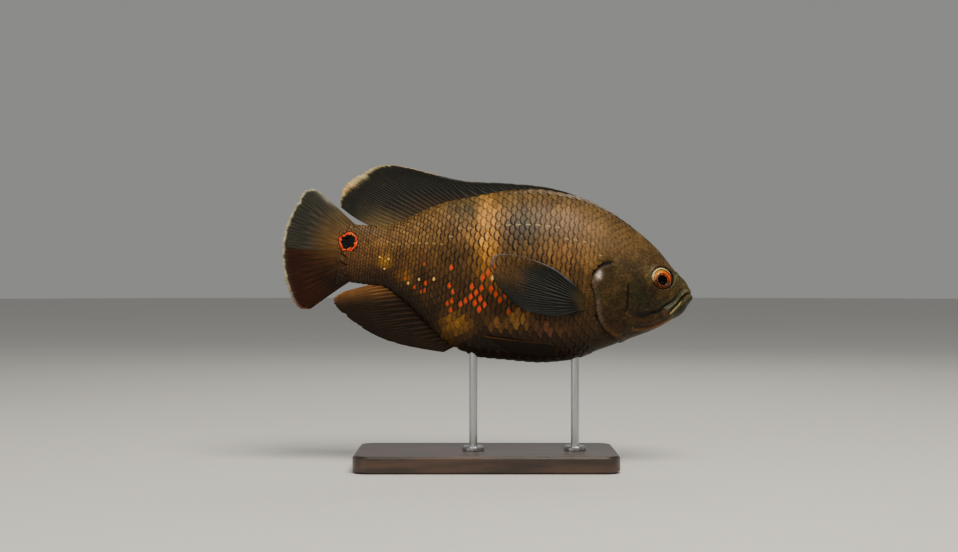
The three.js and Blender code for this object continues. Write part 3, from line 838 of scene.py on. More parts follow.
def fin_sheet(name, spec, shade, mirror=False):
    """A closed sheet with two faces: s runs along the fin's root, and t from its root to its tip."""
    rays, rows = spec["rays"], spec.get("rows", FIN_ROWS)
    columns = rays * RIB_COLUMNS + 1
    s, t = np.meshgrid(np.linspace(0, 1, columns), np.linspace(0, 1, rows), indexing="ij")
    reach = t * (1 - torn(s, spec["seed"], rays * 2, spec["torn"]) * t**4)
    out = reach[..., None]
    centre = spec["root"](s) * (1 - out) + spec["tip"](s) * out
    if "bow" in spec:
        centre = centre + spec["bow"](s, reach)
    normal = np.cross(np.gradient(centre, axis=0), np.gradient(centre, axis=1))
    normal /= np.maximum(np.linalg.norm(normal, axis=-1, keepdims=True), 1e-9)
    rib = ribs(s, t, rays)
    half = WEB_HALF + (spec["root_half"] - WEB_HALF) * (1 - t) ** 3 + RIB * rib * (1 - 0.65 * t)
    half *= 1 - BORDER_THINS * smooth(t, 0.9, 1)
    thick = normal * half[..., None]
    flat = np.stack([centre + thick, centre - thick]).reshape(-1, 3) * [1, -1 if mirror else 1, 1]
    size = columns * rows
    faces = grid_faces(columns, rows) + [face[::-1] for face in grid_faces(columns, rows, first=size)]
    index = np.arange(size).reshape(columns, rows)
    border = [index[:, 0], index[-1, 1:], index[-2::-1, -1], index[0, -2:0:-1]]
    border = np.concatenate(border).tolist()
    faces += [[a, b, b + size, a + size] for a, b in zip(border, border[1:] + border[:1])]
    colours = shade(s, t, -centre[..., 0], centre[..., 2], rib).reshape(-1, 3)
    twice = {key: np.tile(values.ravel(), 2) for key, values in (("rib", rib), ("out", t), ("across", s))}
    piece = new_piece(name, flat, faces, np.vstack([colours, colours]), **twice)
    point_outwards(piece)
    return piece


print("a fin of 13 rays is a grid of", 13 * RIB_COLUMNS + 1, "by", FIN_ROWS, "points on each face")

# %% [markdown]
# ### Fin finishes
# Wet fin web is dark, with paler rays and a fine grain along them. One material serves
# every fin: it streaks and blotches a tint that each point of a fin carries. The tint
# is worked out from how far along and how far out the point is.

# %% Fin finish
def fin_finish(name, alpha=None):
    finish = Finish(name, Roughness=0.55, Coat_Roughness=0.25, Specular_IOR_Level=0.1)
    across, out = finish.attribute("across"), finish.attribute("out")
    lines = finish.node("ShaderNodeCombineXYZ", None, {0: across * 260, 1: out * 5, 2: 0.0})
    streak = finish.noise(1.0, 3, lines)
    blotch = finish.noise(120, 3).ramp(0.3, 0.7, 0.85, 1.15)
    shade = finish.scaled(finish.attribute("tint", "Color"), streak.ramp(0.35, 0.7, 0.65, 1.35) * blotch)
    finish.set(Base_Color=with_eye_spot(finish, shade), Coat_Weight=0.02)
    finish.bump(streak, 0.0002, 0.6)
    if alpha:
        finish.set(Alpha=alpha(across, out, finish.attribute("rib")))
    return finish.material


fin_skin = fin_finish("fin_skin")
print("fin finish:", len(fin_skin.node_tree.nodes), "nodes")

# %% [markdown]
# ### Fin tints
# The soft dorsal fin has a cream margin, the tail fin is grey above its fold and rust
# below it, painted darker there as shade of the half turned from the light, the anal fin
# warms towards its rear, and the pectoral fin is dark and thin, with painted shade over
# its lower half and a painted highlight at its root.
# Each tint starts from a web and its rays and lays bands and margins over them.

# %% Fin tints
def web_and_rays(rib, web, ray, share=0.6):
    return mixed(np.broadcast_to(colour(web), rib.shape + (3,)), colour(ray), share * np.clip(rib, 0, 1))


def uneven(s, seed, count=40):
    """A share that wanders between 0 and 1 along a fin's margin."""
    rng = np.random.default_rng(seed)
    return np.interp(s, np.linspace(0, 1, count), rng.random(count))


def dorsal_shade(spiny):
    def shade(s, t, d, z, rib):
        found = web_and_rays(rib, "15140e", "37342a")
        found = mixed(found, colour("3c2a18"), 0.6 * smooth(0.4 - t, 0, 0.35))
        found = mixed(found, colour("0a0906"), 0.4 if spiny else 0.5 * (1 - smooth(s, 0.15, 0.5)))
        if spiny:
            edge = smooth(t, 0.9, 0.98) * smooth(s, 0.1, 0.5)
            return mixed(found, colour("6a6656"), 0.35 * edge)
        found = mixed(found, colour("705c36"), 0.7 * smooth(s, 0.6, 1.0) * smooth(0.75 - t, 0, 0.6))
        band = 0.012 + (0.045 + 0.03 * uneven(s, 31)) * bump_at(s - 0.6, 0.2)
        edge = smooth(t, 1 - band * (1.4 + 1.6 * rib), 1 - band * 0.6)
        cream = mixed(colour("d9c38c"), colour("dba65c"), 0.6 * bump_at(s - 0.7, 0.1))
        share = (0.65 + 0.35 * uneven(s, 33, 60)) * (1 - 0.5 * smooth(s, 0.8, 1))
        return mixed(found, cream, 0.85 * edge * share)

    return shade


def anal_shade(s, t, d, z, rib):
    found = web_and_rays(rib, "140b03", "33200e")
    rear = smooth(s, 0.62, 1.0) * (0.35 + 0.65 * np.clip(rib, 0, 1))
    found = mixed(found, colour("a8703a"), 0.8 * rear)
    return mixed(found, colour("b98a5a"), 0.5 * smooth(t, 0.93, 1.0) * smooth(s, 0.7, 0.9))


def caudal_shade(s, t, d, z, rib):
    upper = web_and_rays(rib, "25241d", "4c493c", 0.5)
    lower = web_and_rays(rib, "240d03", "45200c", 0.5)
    # Below the fold, the lower half is painted darker and rust-brown as the shade of its turned half.
    found = mixed(upper, lower, smooth(s, 0.5, 0.525))
    found = mixed(found, colour("8f8974"), 0.7 * smooth(0.16 - s, 0, 0.14) * smooth(t, 0.35, 0.8))
    found = mixed(found, tint(d, z), smooth(0.75 - t, 0.0, 0.5) * (1 - 0.3 * rib))
    grey = smooth(t, 0.9, 0.96) * smooth(s, 0.5, 0.55) * (1 - smooth(s, 0.7, 0.85))
    found = mixed(found, colour("33322a"), 0.5 * grey)
    band = 0.018 + 0.02 * uneven(s, 35, 70)
    edge = smooth(t, 1 - 1.6 * band, 1 - 0.5 * band) * (0.55 + 0.45 * uneven(s, 37, 50))
    return mixed(found, mixed(colour("cfc6a4"), colour("8a5a48"), smooth(s, 0.6, 0.85)), 0.85 * edge)


def pectoral_shade(s, t, d, z, rib):
    found = web_and_rays(rib, "090907", "42453e", 0.8)
    thin = smooth(t, 0.55, 0.8) * smooth(0.75 - s, 0, 0.35) * (1 - 0.6 * rib)
    found = mixed(found, colour("6b4c26"), 0.6 * thin)
    # Painted shade: the lower half of the fin is darkened to near black.
    found = mixed(found, colour("070706"), 0.6 * smooth(s, 0.5, 0.85))
    front = smooth(0.035 - s, 0, 0.03) * smooth(t, 0.1, 0.4)
    tip = smooth(t, 0.965, 0.985) * (s < 0.45)
    found = mixed(found, colour("6c7278"), 0.55 * np.maximum(front, tip))
    # A painted highlight at the fin's root.
    found = mixed(found, colour("42341c"), smooth(0.2 - t, 0, 0.18))
    return mixed(found, colour("0c0a08"), 0.7 * bump_at(t - 0.16, 0.05) * smooth(s, 0.3, 0.8))


def pelvic_shade(s, t, d, z, rib):
    found = web_and_rays(rib, "100a04", "2c1c0f")
    # A painted highlight along the fin's leading edge, as it lies folded.
    return mixed(found, colour("7a4a22"), 0.3 * smooth(0.12 - s, 0, 0.1))


print("dark web and pale ray:", web_and_rays(np.array([0.0, 1.0]), "15140e", "37342a").round(3).tolist())

# %% [markdown]
# ### Fins on the midline
# Dorsal, anal and tail fins stand in the fish's middle plane. Each needs a root along
# the body, a tip curve, its number of rays and how torn its margin is. They take the
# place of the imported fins, whose outlines they share.

# %% Fins on the midline
TAIL_FOLD = {"at": 0.47, "lift": 9, "softness": 0.12}
TAIL_ROOT = (19.5, -20.3)  # heights of its two ends
DORSAL_SAG = 2.8


def out_and_up(s, out, up):
    """A shift across the fish and up, for each s."""
    return np.stack([np.zeros_like(s), out + np.zeros_like(s), up + np.zeros_like(s)], -1)


def tail_root(s):
    height = TAIL_ROOT[0] + (TAIL_ROOT[1] - TAIL_ROOT[0]) * s
    return np.stack([np.full_like(s, ROOT_SUNK - BODY_LENGTH), np.zeros_like(s), height], -1)


def tail_bow(s, t):
    """The tail fin is folded along one line, and its two halves lean to the same side."""
    from_fold = np.hypot(s - TAIL_FOLD["at"], TAIL_FOLD["softness"]) - TAIL_FOLD["softness"]
    return out_and_up(s, TAIL_FOLD["lift"] * t * t * from_fold, 0)


def dorsal_bow(s, t):
    return out_and_up(s, 0, -DORSAL_SAG * np.sin(np.pi * t) * s**6)


MIDLINE_FINS = {
    "dorsal_fin_spiny": ({
        "root": along_edge(BACK, 74, 169.4, ROOT_SUNK), "root_half": 1.3,
        "tip": curve_through([[78, 57.6], [98, 63.3], [119, 65.4], [148, 64.6], [172, 63], [193.4, 65.1]]),
        "rays": 13, "rows": 20, "seed": 3, "torn": 0.06,
    }, dorsal_shade(True)),
    "dorsal_fin_soft": ({
        "root": along_edge(BACK, 169.4, 226, ROOT_SUNK), "root_half": 1.3, "bow": dorsal_bow,
        "tip": curve_through([
            [193.4, 65.1], [222, 68.9], [238, 67.2], [250.6, 59.1], [260, 50.5], [263, 41], [262, 33],
        ]),
        "rays": 19, "seed": 5, "torn": 0.035,
    }, dorsal_shade(False)),
    "anal_fin": ({
        "root": along_edge(BELLY, 163, 225, -ROOT_SUNK), "root_half": 1.2,
        "tip": curve_through([
            [174, -65.5], [205, -63.5], [227, -58], [245, -49], [256, -41], [258.5, -35], [252, -29.5],
        ]),
        "rays": 17, "seed": 7, "torn": 0.035,
    }, anal_shade),
    "caudal_fin": ({
        "root": tail_root, "root_half": 2.4, "bow": tail_bow,
        "tip": curve_through([
            [278, 42.6], [285, 44.6], [291.5, 39.5], [299.5, 18], [301.3, 0], [297.8, -20], [289, -39],
            [283, -45], [275, -45],
        ]),
        "rays": 15, "rows": 44, "seed": 11, "torn": 0.035,
    }, caudal_shade),
}

for name, (spec, shade) in MIDLINE_FINS.items():
    fin = fin_sheet(name + "_dressed", spec, shade)
    fin.data.materials.append(fin_skin)
    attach(fin, "root")
    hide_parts(name)
    print(name, len(fin.data.polygons), "faces")

# %% [markdown]
# ### Paired fins
# The pectoral fin springs from the flank behind the gill cover and fans out clear of
# it; the pelvic fin lies folded along the belly. One sheet is made for the left side
# and mirrored for the right. The pectoral fin's outer web is so thin that the flank
# shows through it, which a lower alpha gives with no second mesh.

# %% Paired fins
PECTORAL_EDGE = curve_through([
    [118, 4.4], [132.4, 6.8], [143.7, 5.5], [148.2, 1.3], [146.4, -5.7], [142.8, -15.3], [134.7, -23.1],
    [123.9, -30.5], [110, -33.8],
])
PECTORAL_CLEAR = half_width_at(np.array(74.0), np.array(-18.0)) + 12


def pectoral_root(s):
    return on_flank(76.8 - 1.2 * s, -15.2 - 9.9 * s, -1.5)


def pectoral_tip(s):
    return PECTORAL_EDGE(s) + out_and_up(s, PECTORAL_CLEAR, 0)


def pectoral_bow(s, t):
    belly = np.sin(np.pi * t)
    return out_and_up(s, 2.6 * belly, 7 * belly * (0.5 - s))


def hugging(d, z, out):
    """On the flank, or off it by a distance, where off is out and down."""
    return on_flank(d, z) + out_and_up(d, out, -out * 0.5)


def pelvic_root(s):
    return hugging(88 + 4 * s, -51.5 - 6 * s, -1.2)


def pelvic_tip(s):
    return hugging(148 - 26 * s, -50.5 - 11 * s, 2.4)


def pelvic_bow(s, t):
    belly = np.sin(np.pi * t)
    return out_and_up(s, 1.6 * belly, -0.8 * belly)


PAIRED_FINS = {
    "pectoral_fin": ({
        "root": pectoral_root, "tip": pectoral_tip, "bow": pectoral_bow, "root_half": 1.6,
        "rays": 13, "seed": 13, "torn": 0.03,
    }, pectoral_shade),
    "pelvic_fin": ({
        "root": pelvic_root, "tip": pelvic_tip, "bow": pelvic_bow, "root_half": 1.4,
        "rays": 6, "seed": 17, "torn": 0.05,
    }, pelvic_shade),
}


def web_shows_through(across, out, rib):
    """Clear in the outer, upper web, but not along its margins or on its rays."""
    outer = out.ramp(0.5, 0.85) * out.ramp(0.99, 0.965)
    upper = across.ramp(0.8, 0.4) * across.ramp(0.02, 0.05)
    return 1 - outer * upper * 0.85 * (1 - rib * 0.7)


clear_fin_skin = fin_finish("clear_fin_skin", alpha=web_shows_through)
for name, (spec, shade) in PAIRED_FINS.items():
    for side in ("left", "right"):
        fin = fin_sheet(f"{name}_{side}_dressed", spec, shade, mirror=side == "right")
        fin.data.materials.append(clear_fin_skin if name == "pectoral_fin" else fin_skin)
        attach(fin, "root")
        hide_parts(f"{name}_{side}")
    print(name, len(fin.data.polygons), "faces a side")

# %% [markdown]
# ## Eyes
# The eye is a ball whose front bulges clear of the skin. The iris is a shallow dish
# with the pupil as a dark hole in it, and a thin clear cornea closes over both, so
# that light glints on the cornea and the iris shows real depth behind it.

# %% Forms on the eye's axis
PUPIL = 4.1
IRIS_EDGE = 7.1
IRIS_DROP = 1.8
BALL_RIM = 8.2
EYE_SIDES = 48


def outward_at(d, z):
    step = 2.0
    along = on_flank(d + step, z) - on_flank(d - step, z)
    up = on_flank(d, z + step) - on_flank(d, z - step)
    out = np.cross(up, along)
    out = out / np.linalg.norm(out)
    return out * np.sign(out[1])


def turned_form(name, outline, side, drop=0.0):
    """A form turned on the eye's axis from [radius, height out] points; its middle may sit lower."""
    at, level = np.array(EYE["behind"]), np.array(EYE["height"])
    out = outward_at(at, level)
    centre = on_flank(at, level) - out * EYE["sunk"]
    first = np.cross(out, [0, 0, 1.0])
    first /= np.linalg.norm(first)
    second = np.cross(out, first)
    up = second * np.sign(second[2])
    angle = np.arange(EYE_SIDES) / EYE_SIDES * 2 * np.pi
    ring = np.cos(angle)[:, None] * first + np.sin(angle)[:, None] * second
    drops = [drop * (1 - smooth(radius, PUPIL, BALL_RIM)) * (height > 0) for radius, height in outline]
    middles = [centre + out * height - up * lower for (_, height), lower in zip(outline, drops)]
    rings = [middle + ring * radius for middle, (radius, _) in zip(middles, outline)]
    flat = np.vstack(rings + [middles[0], middles[-1]])
    radius = np.concatenate([np.full(EYE_SIDES, r) for r, _ in outline] + [[0, 0]])
    spin = np.concatenate([np.cos(angle)] * len(outline) + [[0, 0]])
    rise = flat[:, 2] - centre[2]
    if side == "right":
        flat = flat * np.array([1, -1, 1])
    faces = capped_faces(len(outline), EYE_SIDES)
    piece = new_piece(f"{name}_{side}", flat, faces, None, radius=radius, rise=rise, spin=spin)
    point_outwards(piece)
    return piece


print("the left eye looks along", outward_at(np.array(EYE["behind"]), np.array(EYE["height"])).round(2))

# %% [markdown]
# ### Outlines of the eyeball and the cornea
# Ball and cornea are turned forms, like work on a lathe, so an outline of radius and
# height says it all. The ball's outline runs from its back over the rim, down to the
# iris and into the pupil. The cornea's runs over its front and back underneath.

# %% Outlines of the eyeball and the cornea
def cap_height(radius):
    return EYE["depth"] * math.sqrt(max(0, 1 - (radius / EYE["radius"]) ** 2))


BACK_OF_BALL = [(r, -cap_height(r)) for r in (1, 3, 5, 7, 8)]
RIM_OF_BALL = [(r, cap_height(r) - 0.15) for r in (BALL_RIM, 7.9)]
RIM_OF_BALL.append((IRIS_EDGE, cap_height(IRIS_EDGE) - 0.25))
IRIS_DISH = [(6.8, 2.1), (6.1, 2.0), (5.4, 2.2), (4.8, 2.5), (4.4, 2.6)]
PUPIL_HOLE = [(PUPIL, 2.5), (3.9, 1.4), (3.5, -0.6), (1.2, -1.2)]
EYEBALL = BACK_OF_BALL + RIM_OF_BALL + IRIS_DISH + PUPIL_HOLE
CORNEA_FRONT = [
    (r, cap_height(r) + 0.25 * (1 - r / BALL_RIM)) for r in (0.8, 2, 3.2, 4.6, 5.8, 6.8, 7.4, 7.9)
]
CORNEA_BACK = [(r, cap_height(r) - 0.35) for r in (7.7, 7.0, 6.0, 4.6, 3.0, 1.4)]
print("the cornea stands", round(CORNEA_FRONT[0][1] - PUPIL_HOLE[-1][1], 1), "mm over the pupil's floor")

# %% [markdown]
# ### Eye finishes
# An oscar's iris is red to orange, with a pale ring at its edge. Painted shade leaves
# it deep red below, painted light turns it orange above and a painted highlight gold
# at its upper rear, and the ring is painted pale there and dark on the other side. The
# ball carries each point's distance from the axis, so rings of colour are ramps on it.
# The cornea is all but clear, and its gloss catches the lamps.

# %% Eye finishes
def iris_finish():
    finish = Finish("iris", Roughness=0.4, Coat_Weight=0.0, Coat_Roughness=0.08, Specular_IOR_Level=0.2)
    radius = finish.attribute("radius")
    rise = finish.attribute("rise")
    spin = finish.attribute("spin")
    streaks = finish.noise(900, 4).ramp(0.3, 0.7, 0.55, 1.45)
    # Painted shade leaves the iris deep red below, and painted light turns it orange above.
    lit_and_shaded = finish.mix(rise.ramp(-4.5, 3.5), colour("300a02"), colour("cc4804"))
    # A painted highlight turns its upper rear gold.
    painted_highlight = (rise * 0.12 - spin * 0.5).ramp(0.2, 0.9)
    lit_and_shaded = finish.mix(painted_highlight * 0.8, lit_and_shaded, colour("f0a428"))
    shade = finish.mix(radius.ramp(4.9, 5.6), colour("340a02"), lit_and_shaded)
    shade = finish.mix(radius.ramp(4.7, 4.4) * 0.7, shade, colour("a85c18"))
    shade = finish.mix(radius.ramp(6.3, 7.1), shade, colour("2a0c04"))
    shade = finish.scaled(shade, streaks)
    # The pale ring is painted lighter on its upper rear, where light falls, and darker elsewhere.
    lit_side = (rise * 0.14 - spin * 0.4).ramp(-0.3, 0.8)
    rim = finish.mix(lit_side, colour("4a2408"), colour("e0d09a"))
    shade = finish.mix(radius.ramp(IRIS_EDGE - 0.1, IRIS_EDGE + 0.15), shade, rim)
    shade = finish.mix(radius.ramp(PUPIL + 0.12, PUPIL - 0.12), shade, colour("010101"))
    finish.set(Base_Color=shade, Roughness=radius.ramp(PUPIL + 0.1, PUPIL - 0.1, 0.4, 1.0))
    return finish.material


def cornea_finish():
    finish = Finish("cornea", Roughness=0.05, Coat_Weight=0.15, Coat_Roughness=0.02, Alpha=0.05)
    finish.set(Base_Color=finish.mix(finish.noise(300, 2) * 0.2, colour("020202"), colour("0a0806")))
    return finish.material


iris, cornea = iris_finish(), cornea_finish()
for side in ("left", "right"):
    ball = turned_form("eyeball", EYEBALL, side, IRIS_DROP)
    ball.data.materials.append(iris)
    window = turned_form("cornea", CORNEA_FRONT + CORNEA_BACK, side)
    window.data.materials.append(cornea)
    for piece in (ball, window):
        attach(piece, "root")
    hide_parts(f"eye_{side}")
    print(side, "eye at", [round(v, 4) for v in ball.data.vertices[0].co])

# %% [markdown]
# ## Scales
# Scales are thin plates in staggered rows, rooted in the skin and laid back towards
# the tail, each over the next like tiles. Nearly forty follow each other in a row from
# the nape to the tail, and they shrink on the way. One plate is modelled, and Geometry
# Nodes sets it on every root with its own lie, size and colour. The plates are then
# made real, because an export keeps no instances.

# %% Where the scales grow
SCALE_ROWS = 17
SCALE_PITCH = profile([
    [20, 4.2], [60, 5.6], [110, 7.2], [150, 7.0], [190, 5.4], [215, 4.6], [250, 3.7], [262, 2.8],
])
BARE_NAPE = 46
SCALES_ON_TAIL = 11
TAIL_HALF_HEIGHT = 21
TAIL_FANS = 0.9  # how far the tail fin's edges part for each unit of its length
TAIL_THINS = 0.07
RING_POINTS = 160


def columns_of_roots():
    """Distances of the columns of scales, half a pitch apart."""
    places = [BARE_NAPE]
    while places[-1] < BODY_LENGTH + SCALES_ON_TAIL:
        places.append(places[-1] + SCALE_PITCH(places[-1]) / 2)
    return np.array(places)


def flank_at(d, share):
    """The point a share of the way round from back to belly, by arc length, at each distance."""
    angle = np.linspace(0.02, np.pi - 0.02, RING_POINTS)
    found = np.zeros((len(d), 3))
    for k, at in enumerate(d):
        ring = body_point(np.full(RING_POINTS, min(at, BODY_LENGTH)), angle)
        past = at - BODY_LENGTH
        if past > 0:
            ring = ring * [1, 1 - TAIL_THINS * past, 1 + TAIL_FANS * past / TAIL_HALF_HEIGHT] - [past, 0, 0]
        length = np.concatenate([[0], np.cumsum(np.linalg.norm(np.diff(ring, axis=0), axis=1))])
        found[k] = [np.interp(share[k] * length[-1], length, ring[:, axis]) for axis in range(3)]
    return found


print("scales along each row:", len(columns_of_roots()) // 2)

# %% [markdown]
# ### Roots of the scales
# Points scattered at random would spoil the rows, so each root is worked out: a column
# along the body, and a share of the way round from back to belly, with every second
# column half a row lower. Its neighbours give the way a scale lies and the way out.
# Roots on the cheek, under the gill cover and far out on the tail are then dropped.

# %% Roots of the scales
AHEAD = 1.5
BESIDE = 0.015


def scale_roots():
    """Distance, share of the way round, place, lie, outward way and height of each scale."""
    columns = columns_of_roots()
    rows = np.arange(SCALE_ROWS)
    d = np.repeat(columns, SCALE_ROWS)
    share = [(rows + 0.5 + 0.5 * (k % 2)) / (SCALE_ROWS + 0.5) for k in range(len(columns))]
    share = np.concatenate(share)
    points = flank_at(d, share)
    higher, lower = np.maximum(share - BESIDE, 0), np.minimum(share + BESIDE, 1)
    above, below = flank_at(d, higher), flank_at(d, lower)
    lie = flank_at(d + AHEAD, share) - flank_at(d - AHEAD, share)
    lie /= np.linalg.norm(lie, axis=1, keepdims=True)
    out = np.cross(lie, above - below)
    out /= np.linalg.norm(out, axis=1, keepdims=True)
    out *= np.sign((out * (points * [0, 1, 0] + [0, 1e-6, 0])).sum(1) + 1e-9)[:, None]
    high = np.linalg.norm(above - below, axis=1) / (lower - higher) / (SCALE_ROWS + 0.5)
    return d, share, points, lie, out, high


def kept(d, z):
    """Scales grow behind the gill cover and forward over the nape, and thin out on the tail fin."""
    d, z = as_seen(d, z)
    gap, along, side = near_line(GILL_EDGE, d, z)
    behind_edge = (side > 0) | (d > 74)
    margin = 0.6 + 4.6 * (1 - smooth(along, 0.2, 0.36))
    covered = (z < 20) & (d < 78) & (~behind_edge | (gap < margin))
    cheek = (d <= 62) & (z <= 20)
    throat = (d < 66) & (z < -40)
    onto_tail = (d - BODY_LENGTH + 3) / (SCALES_ON_TAIL + 3)
    thinned = np.random.default_rng(5).random(np.shape(d)) <= onto_tail
    return ~(covered | cheek | throat | thinned)


roots = scale_roots()
grows = kept(roots[0], roots[2][:, 2])
roots = [values[grows] for values in roots]
print("scales on one flank:", len(roots[0]))

# %% [markdown]
# ### One scale
# A scale is a rounded shield, one unit long and wide. Its rim is thin, its middle a
# little domed, and its free edge is on the +X side.

# %% One scale
SCALE_SIDES = 12
# Rings of a plate: share of its full size, and height
PLATE_RINGS = [(0.5, 1.0), (0.86, 0.72), (1.0, 0.25), (1.0, -0.6)]


def scale_plate():
    angle = np.arange(SCALE_SIDES) / SCALE_SIDES * 2 * np.pi
    across = np.sign(np.sin(angle)) * np.abs(np.sin(angle)) ** 0.8
    along = np.sign(np.cos(angle)) * np.abs(np.cos(angle)) ** 0.9
    points = []
    for share, rise in PLATE_RINGS:
        points += [(0.5 * share * a, 0.5 * share * b, rise) for a, b in zip(along, across)]
    points += [(0, 0, 1.0), (0, 0, -0.4)]
    mesh = bpy.data.meshes.new("scale_plate")
    mesh.from_pydata(points, [], capped_faces(len(PLATE_RINGS), SCALE_SIDES))
    mesh.update()
    layer = mesh.uv_layers.new(name="plate")
    for loop in mesh.loops:
        x, y, _ = mesh.vertices[loop.vertex_index].co
        layer.data[loop.index].uv = (x + 0.5, y + 0.5)
    mesh.polygons.foreach_set("use_smooth", [True] * len(mesh.polygons))
    return add_object("scale_plate", mesh)


plate = scale_plate()
point_outwards(plate)
print("a scale has", len(plate.data.polygons), "faces")

# %% [markdown]
# ### Setting the scales
# Placing a thousand plates by hand is out of the question, and an array can't follow
# a body. Instance on Points sets one on each root, turned by two directions that the
# root carries: outwards, and the way the scale lies. Each plate also gets a patch of
# its own on a map, at the place of its root, so that its finish can be baked.

# %% Node tree of the scales
SCALE_TILT = math.radians(5.0)
PATCH = 0.003


def scale_tree(finish):
    """Sets a plate on each root: +X along the lie, +Z outwards, with a patch of its own on the map."""
    tree = bpy.data.node_groups.new("scales", "GeometryNodeTree")

    def socket(name, kind, way="INPUT"):
        return tree.interface.new_socket(name=name, in_out=way, socket_type="NodeSocket" + kind)

    def add(kind, inputs, **settings):
        """A node with its settings; each input is a value or another node's output."""
        node = tree.nodes.new(kind)
        for key, value in settings.items():
            setattr(node, key, value)
        for key, value in inputs.items():
            if isinstance(value, bpy.types.NodeSocket):
                tree.links.new(value, node.inputs[key])
            else:
                node.inputs[key].default_value = value
        return node.outputs[0] if node.outputs else node

    def named(name):
        return add("GeometryNodeInputNamedAttribute", {"Name": name}, data_type="FLOAT_VECTOR")

    socket("Geometry", "Geometry")
    sockets = {key: socket(name, kind) for key, name, kind in (
        ("plate", "Plate", "Object"), ("patch", "Patch size", "Float"), ("tilt", "Tilt", "Float"))}
    socket("Geometry", "Geometry", "OUTPUT")
    entry = tree.nodes.new("NodeGroupInput").outputs

    plate = tree.nodes.new("GeometryNodeObjectInfo")
    tree.links.new(entry["Plate"], plate.inputs["Object"])
    turn = add("FunctionNodeAxesToRotation", {"Primary Axis": named("out"), "Secondary Axis": named("lie")},
               primary_axis="Z", secondary_axis="X")
    lean = add("FunctionNodeEulerToRotation", {0: add("ShaderNodeCombineXYZ", {"Y": entry["Tilt"]})})
    tilt = add("FunctionNodeRotateRotation", {"Rotation": turn, "Rotate By": lean}, rotation_space="LOCAL")
    place = add("GeometryNodeInstanceOnPoints", {
        "Points": entry["Geometry"], "Instance": plate.outputs["Geometry"], "Rotation": tilt,
        "Scale": named("size"),
    })
    real = add("GeometryNodeRealizeInstances", {0: place})

    small = add("ShaderNodeVectorMath", {0: named("plate"), "Scale": entry["Patch size"]}, operation="SCALE")
    spot = add("ShaderNodeVectorMath", {0: named("root_map"), 1: small}, operation="ADD")
    mapped = add("GeometryNodeStoreNamedAttribute", {"Geometry": real, "Name": "OFBake", "Value": spot},
                 data_type="FLOAT2", domain="CORNER")
    painted = add("GeometryNodeSetMaterial", {"Geometry": mapped, "Material": finish})
    add("NodeGroupOutput", {0: painted})
    return tree, sockets


# %% [markdown]
# ### What each scale carries
# The orange scales aren't at random: they are single scales of the lower flank, at
# known places. Each root takes the colour of the skin under it, a little uneven from
# scale to scale, and marks that say how orange, gold or dark-rimmed its scale is. The
# lateral line is a row of scales with a pore each, broken off before the tail stem.

# %% Marks on the scales
# Distance behind the snout and height of each orange scale as seen, and how strong its colour is
FLAME_SCALES = [
    (173.5, -2.8, 1), (192.8, -15.3, 1), (199.5, -20.5, 0.8), (195.1, -20.8, 0.5), (191.4, -21.1, 0.8),
    (206.8, -14.7, 0.4), (195.4, -4.6, 0.5), (174.2, -16.2, 0.9), (172.1, -21.8, 0.9), (174.4, -27.2, 0.8),
    (170.0, -27.5, 0.8), (165.6, -27.7, 1), (159.7, -27.0, 1), (154.6, -26.5, 0.9), (150.2, -26.7, 0.9),
    (170.9, -32.7, 0.7), (152.6, -31.4, 0.9), (159.6, -15.2, 1), (154.4, -16.1, 1), (148.6, -14.7, 1),
    (143.5, -14.1, 0.9), (150.8, -8.3, 1), (147.1, -2.0, 1), (142.1, -0.7, 0.8), (156.7, -21.5, 0.9),
    (152.3, -21.0, 1), (140.7, -19.7, 0.7), (133.1, -15.2, 0.8), (134.6, -21.2, 0.7), (131.3, -31.2, 0.6),
]
GOLD_SCALES = [(196.5, -15.0), (224.5, -7.9), (145.6, -9.2), (188, -12), (221, -2), (204, -19), (228, -2)]
DOT_BEHIND_ROOT = 1.0


def scale_colours(d, z, rng):
    """The tint of each scale, and how orange and how gold its dot is."""
    uneven_tint = 1 + smooth(d, BARE_NAPE, 100) * rng.uniform(-0.22, 0.3, len(d))
    shades = tint(d, z) * uneven_tint[:, None]
    flame, gold = np.zeros(len(d)), np.zeros(len(d))
    d, z = as_seen(d, z)
    for at, height, strength in FLAME_SCALES:
        nearest = np.argmin(np.hypot(d + DOT_BEHIND_ROOT - at, z - height))
        flame[nearest] = max(flame[nearest], strength)
    for at, height in GOLD_SCALES:
        gold[np.argmin(np.hypot(d + DOT_BEHIND_ROOT - at, z - height))] = 1
    return shades, flame, gold


LATERAL_LINE = [[66, 20], [77, 26.5], [93, 31.4], [111, 33], [130, 32], [144, 30.4], [166, 25.3], [178, 21]]
LATERAL_LINE_REAR = [[180, 13.5], [190, 12.5], [207, 11.8], [225, 10]]


def pored_scales(d, z):
    """One for each scale that carries a pore of the lateral line: one in every other column."""
    pored = np.zeros(len(d))
    seen_d, seen_z = as_seen(d, z)
    for column in np.unique(d)[::2]:
        inside = np.flatnonzero(d == column)
        for line in (LATERAL_LINE, LATERAL_LINE_REAR):
            at, level = np.array(line).T
            nearest = inside[np.argmin(np.abs(seen_z[inside] - np.interp(seen_d[inside], at, level)))]
            if at[0] < seen_d[nearest] < at[-1]:
                pored[nearest] = 1
    return pored


print("orange scales:", len(FLAME_SCALES), "gold scales:", len(GOLD_SCALES))

# %% [markdown]
# ### Points that carry the scales
# Geometry Nodes can only set what its points tell it, so each root becomes a bare
# point with named values: two directions, a size, a tint and the marks. Sizes vary a
# little from scale to scale. The left flank mirrors the right one, but its orange
# scales are moved on and uneven, since no two sides of a fish are alike.

# %% Points that carry the scales
SCALE_LONG = 1.28  # length and height of a scale, in pitches: over 1, so that they overlap
SCALE_HIGH = 1.22
SCALE_DOME = 0.28
MAP_LENGTH = 262
MAP_MARGIN = 0.02
MAP_SHARE = 0.94


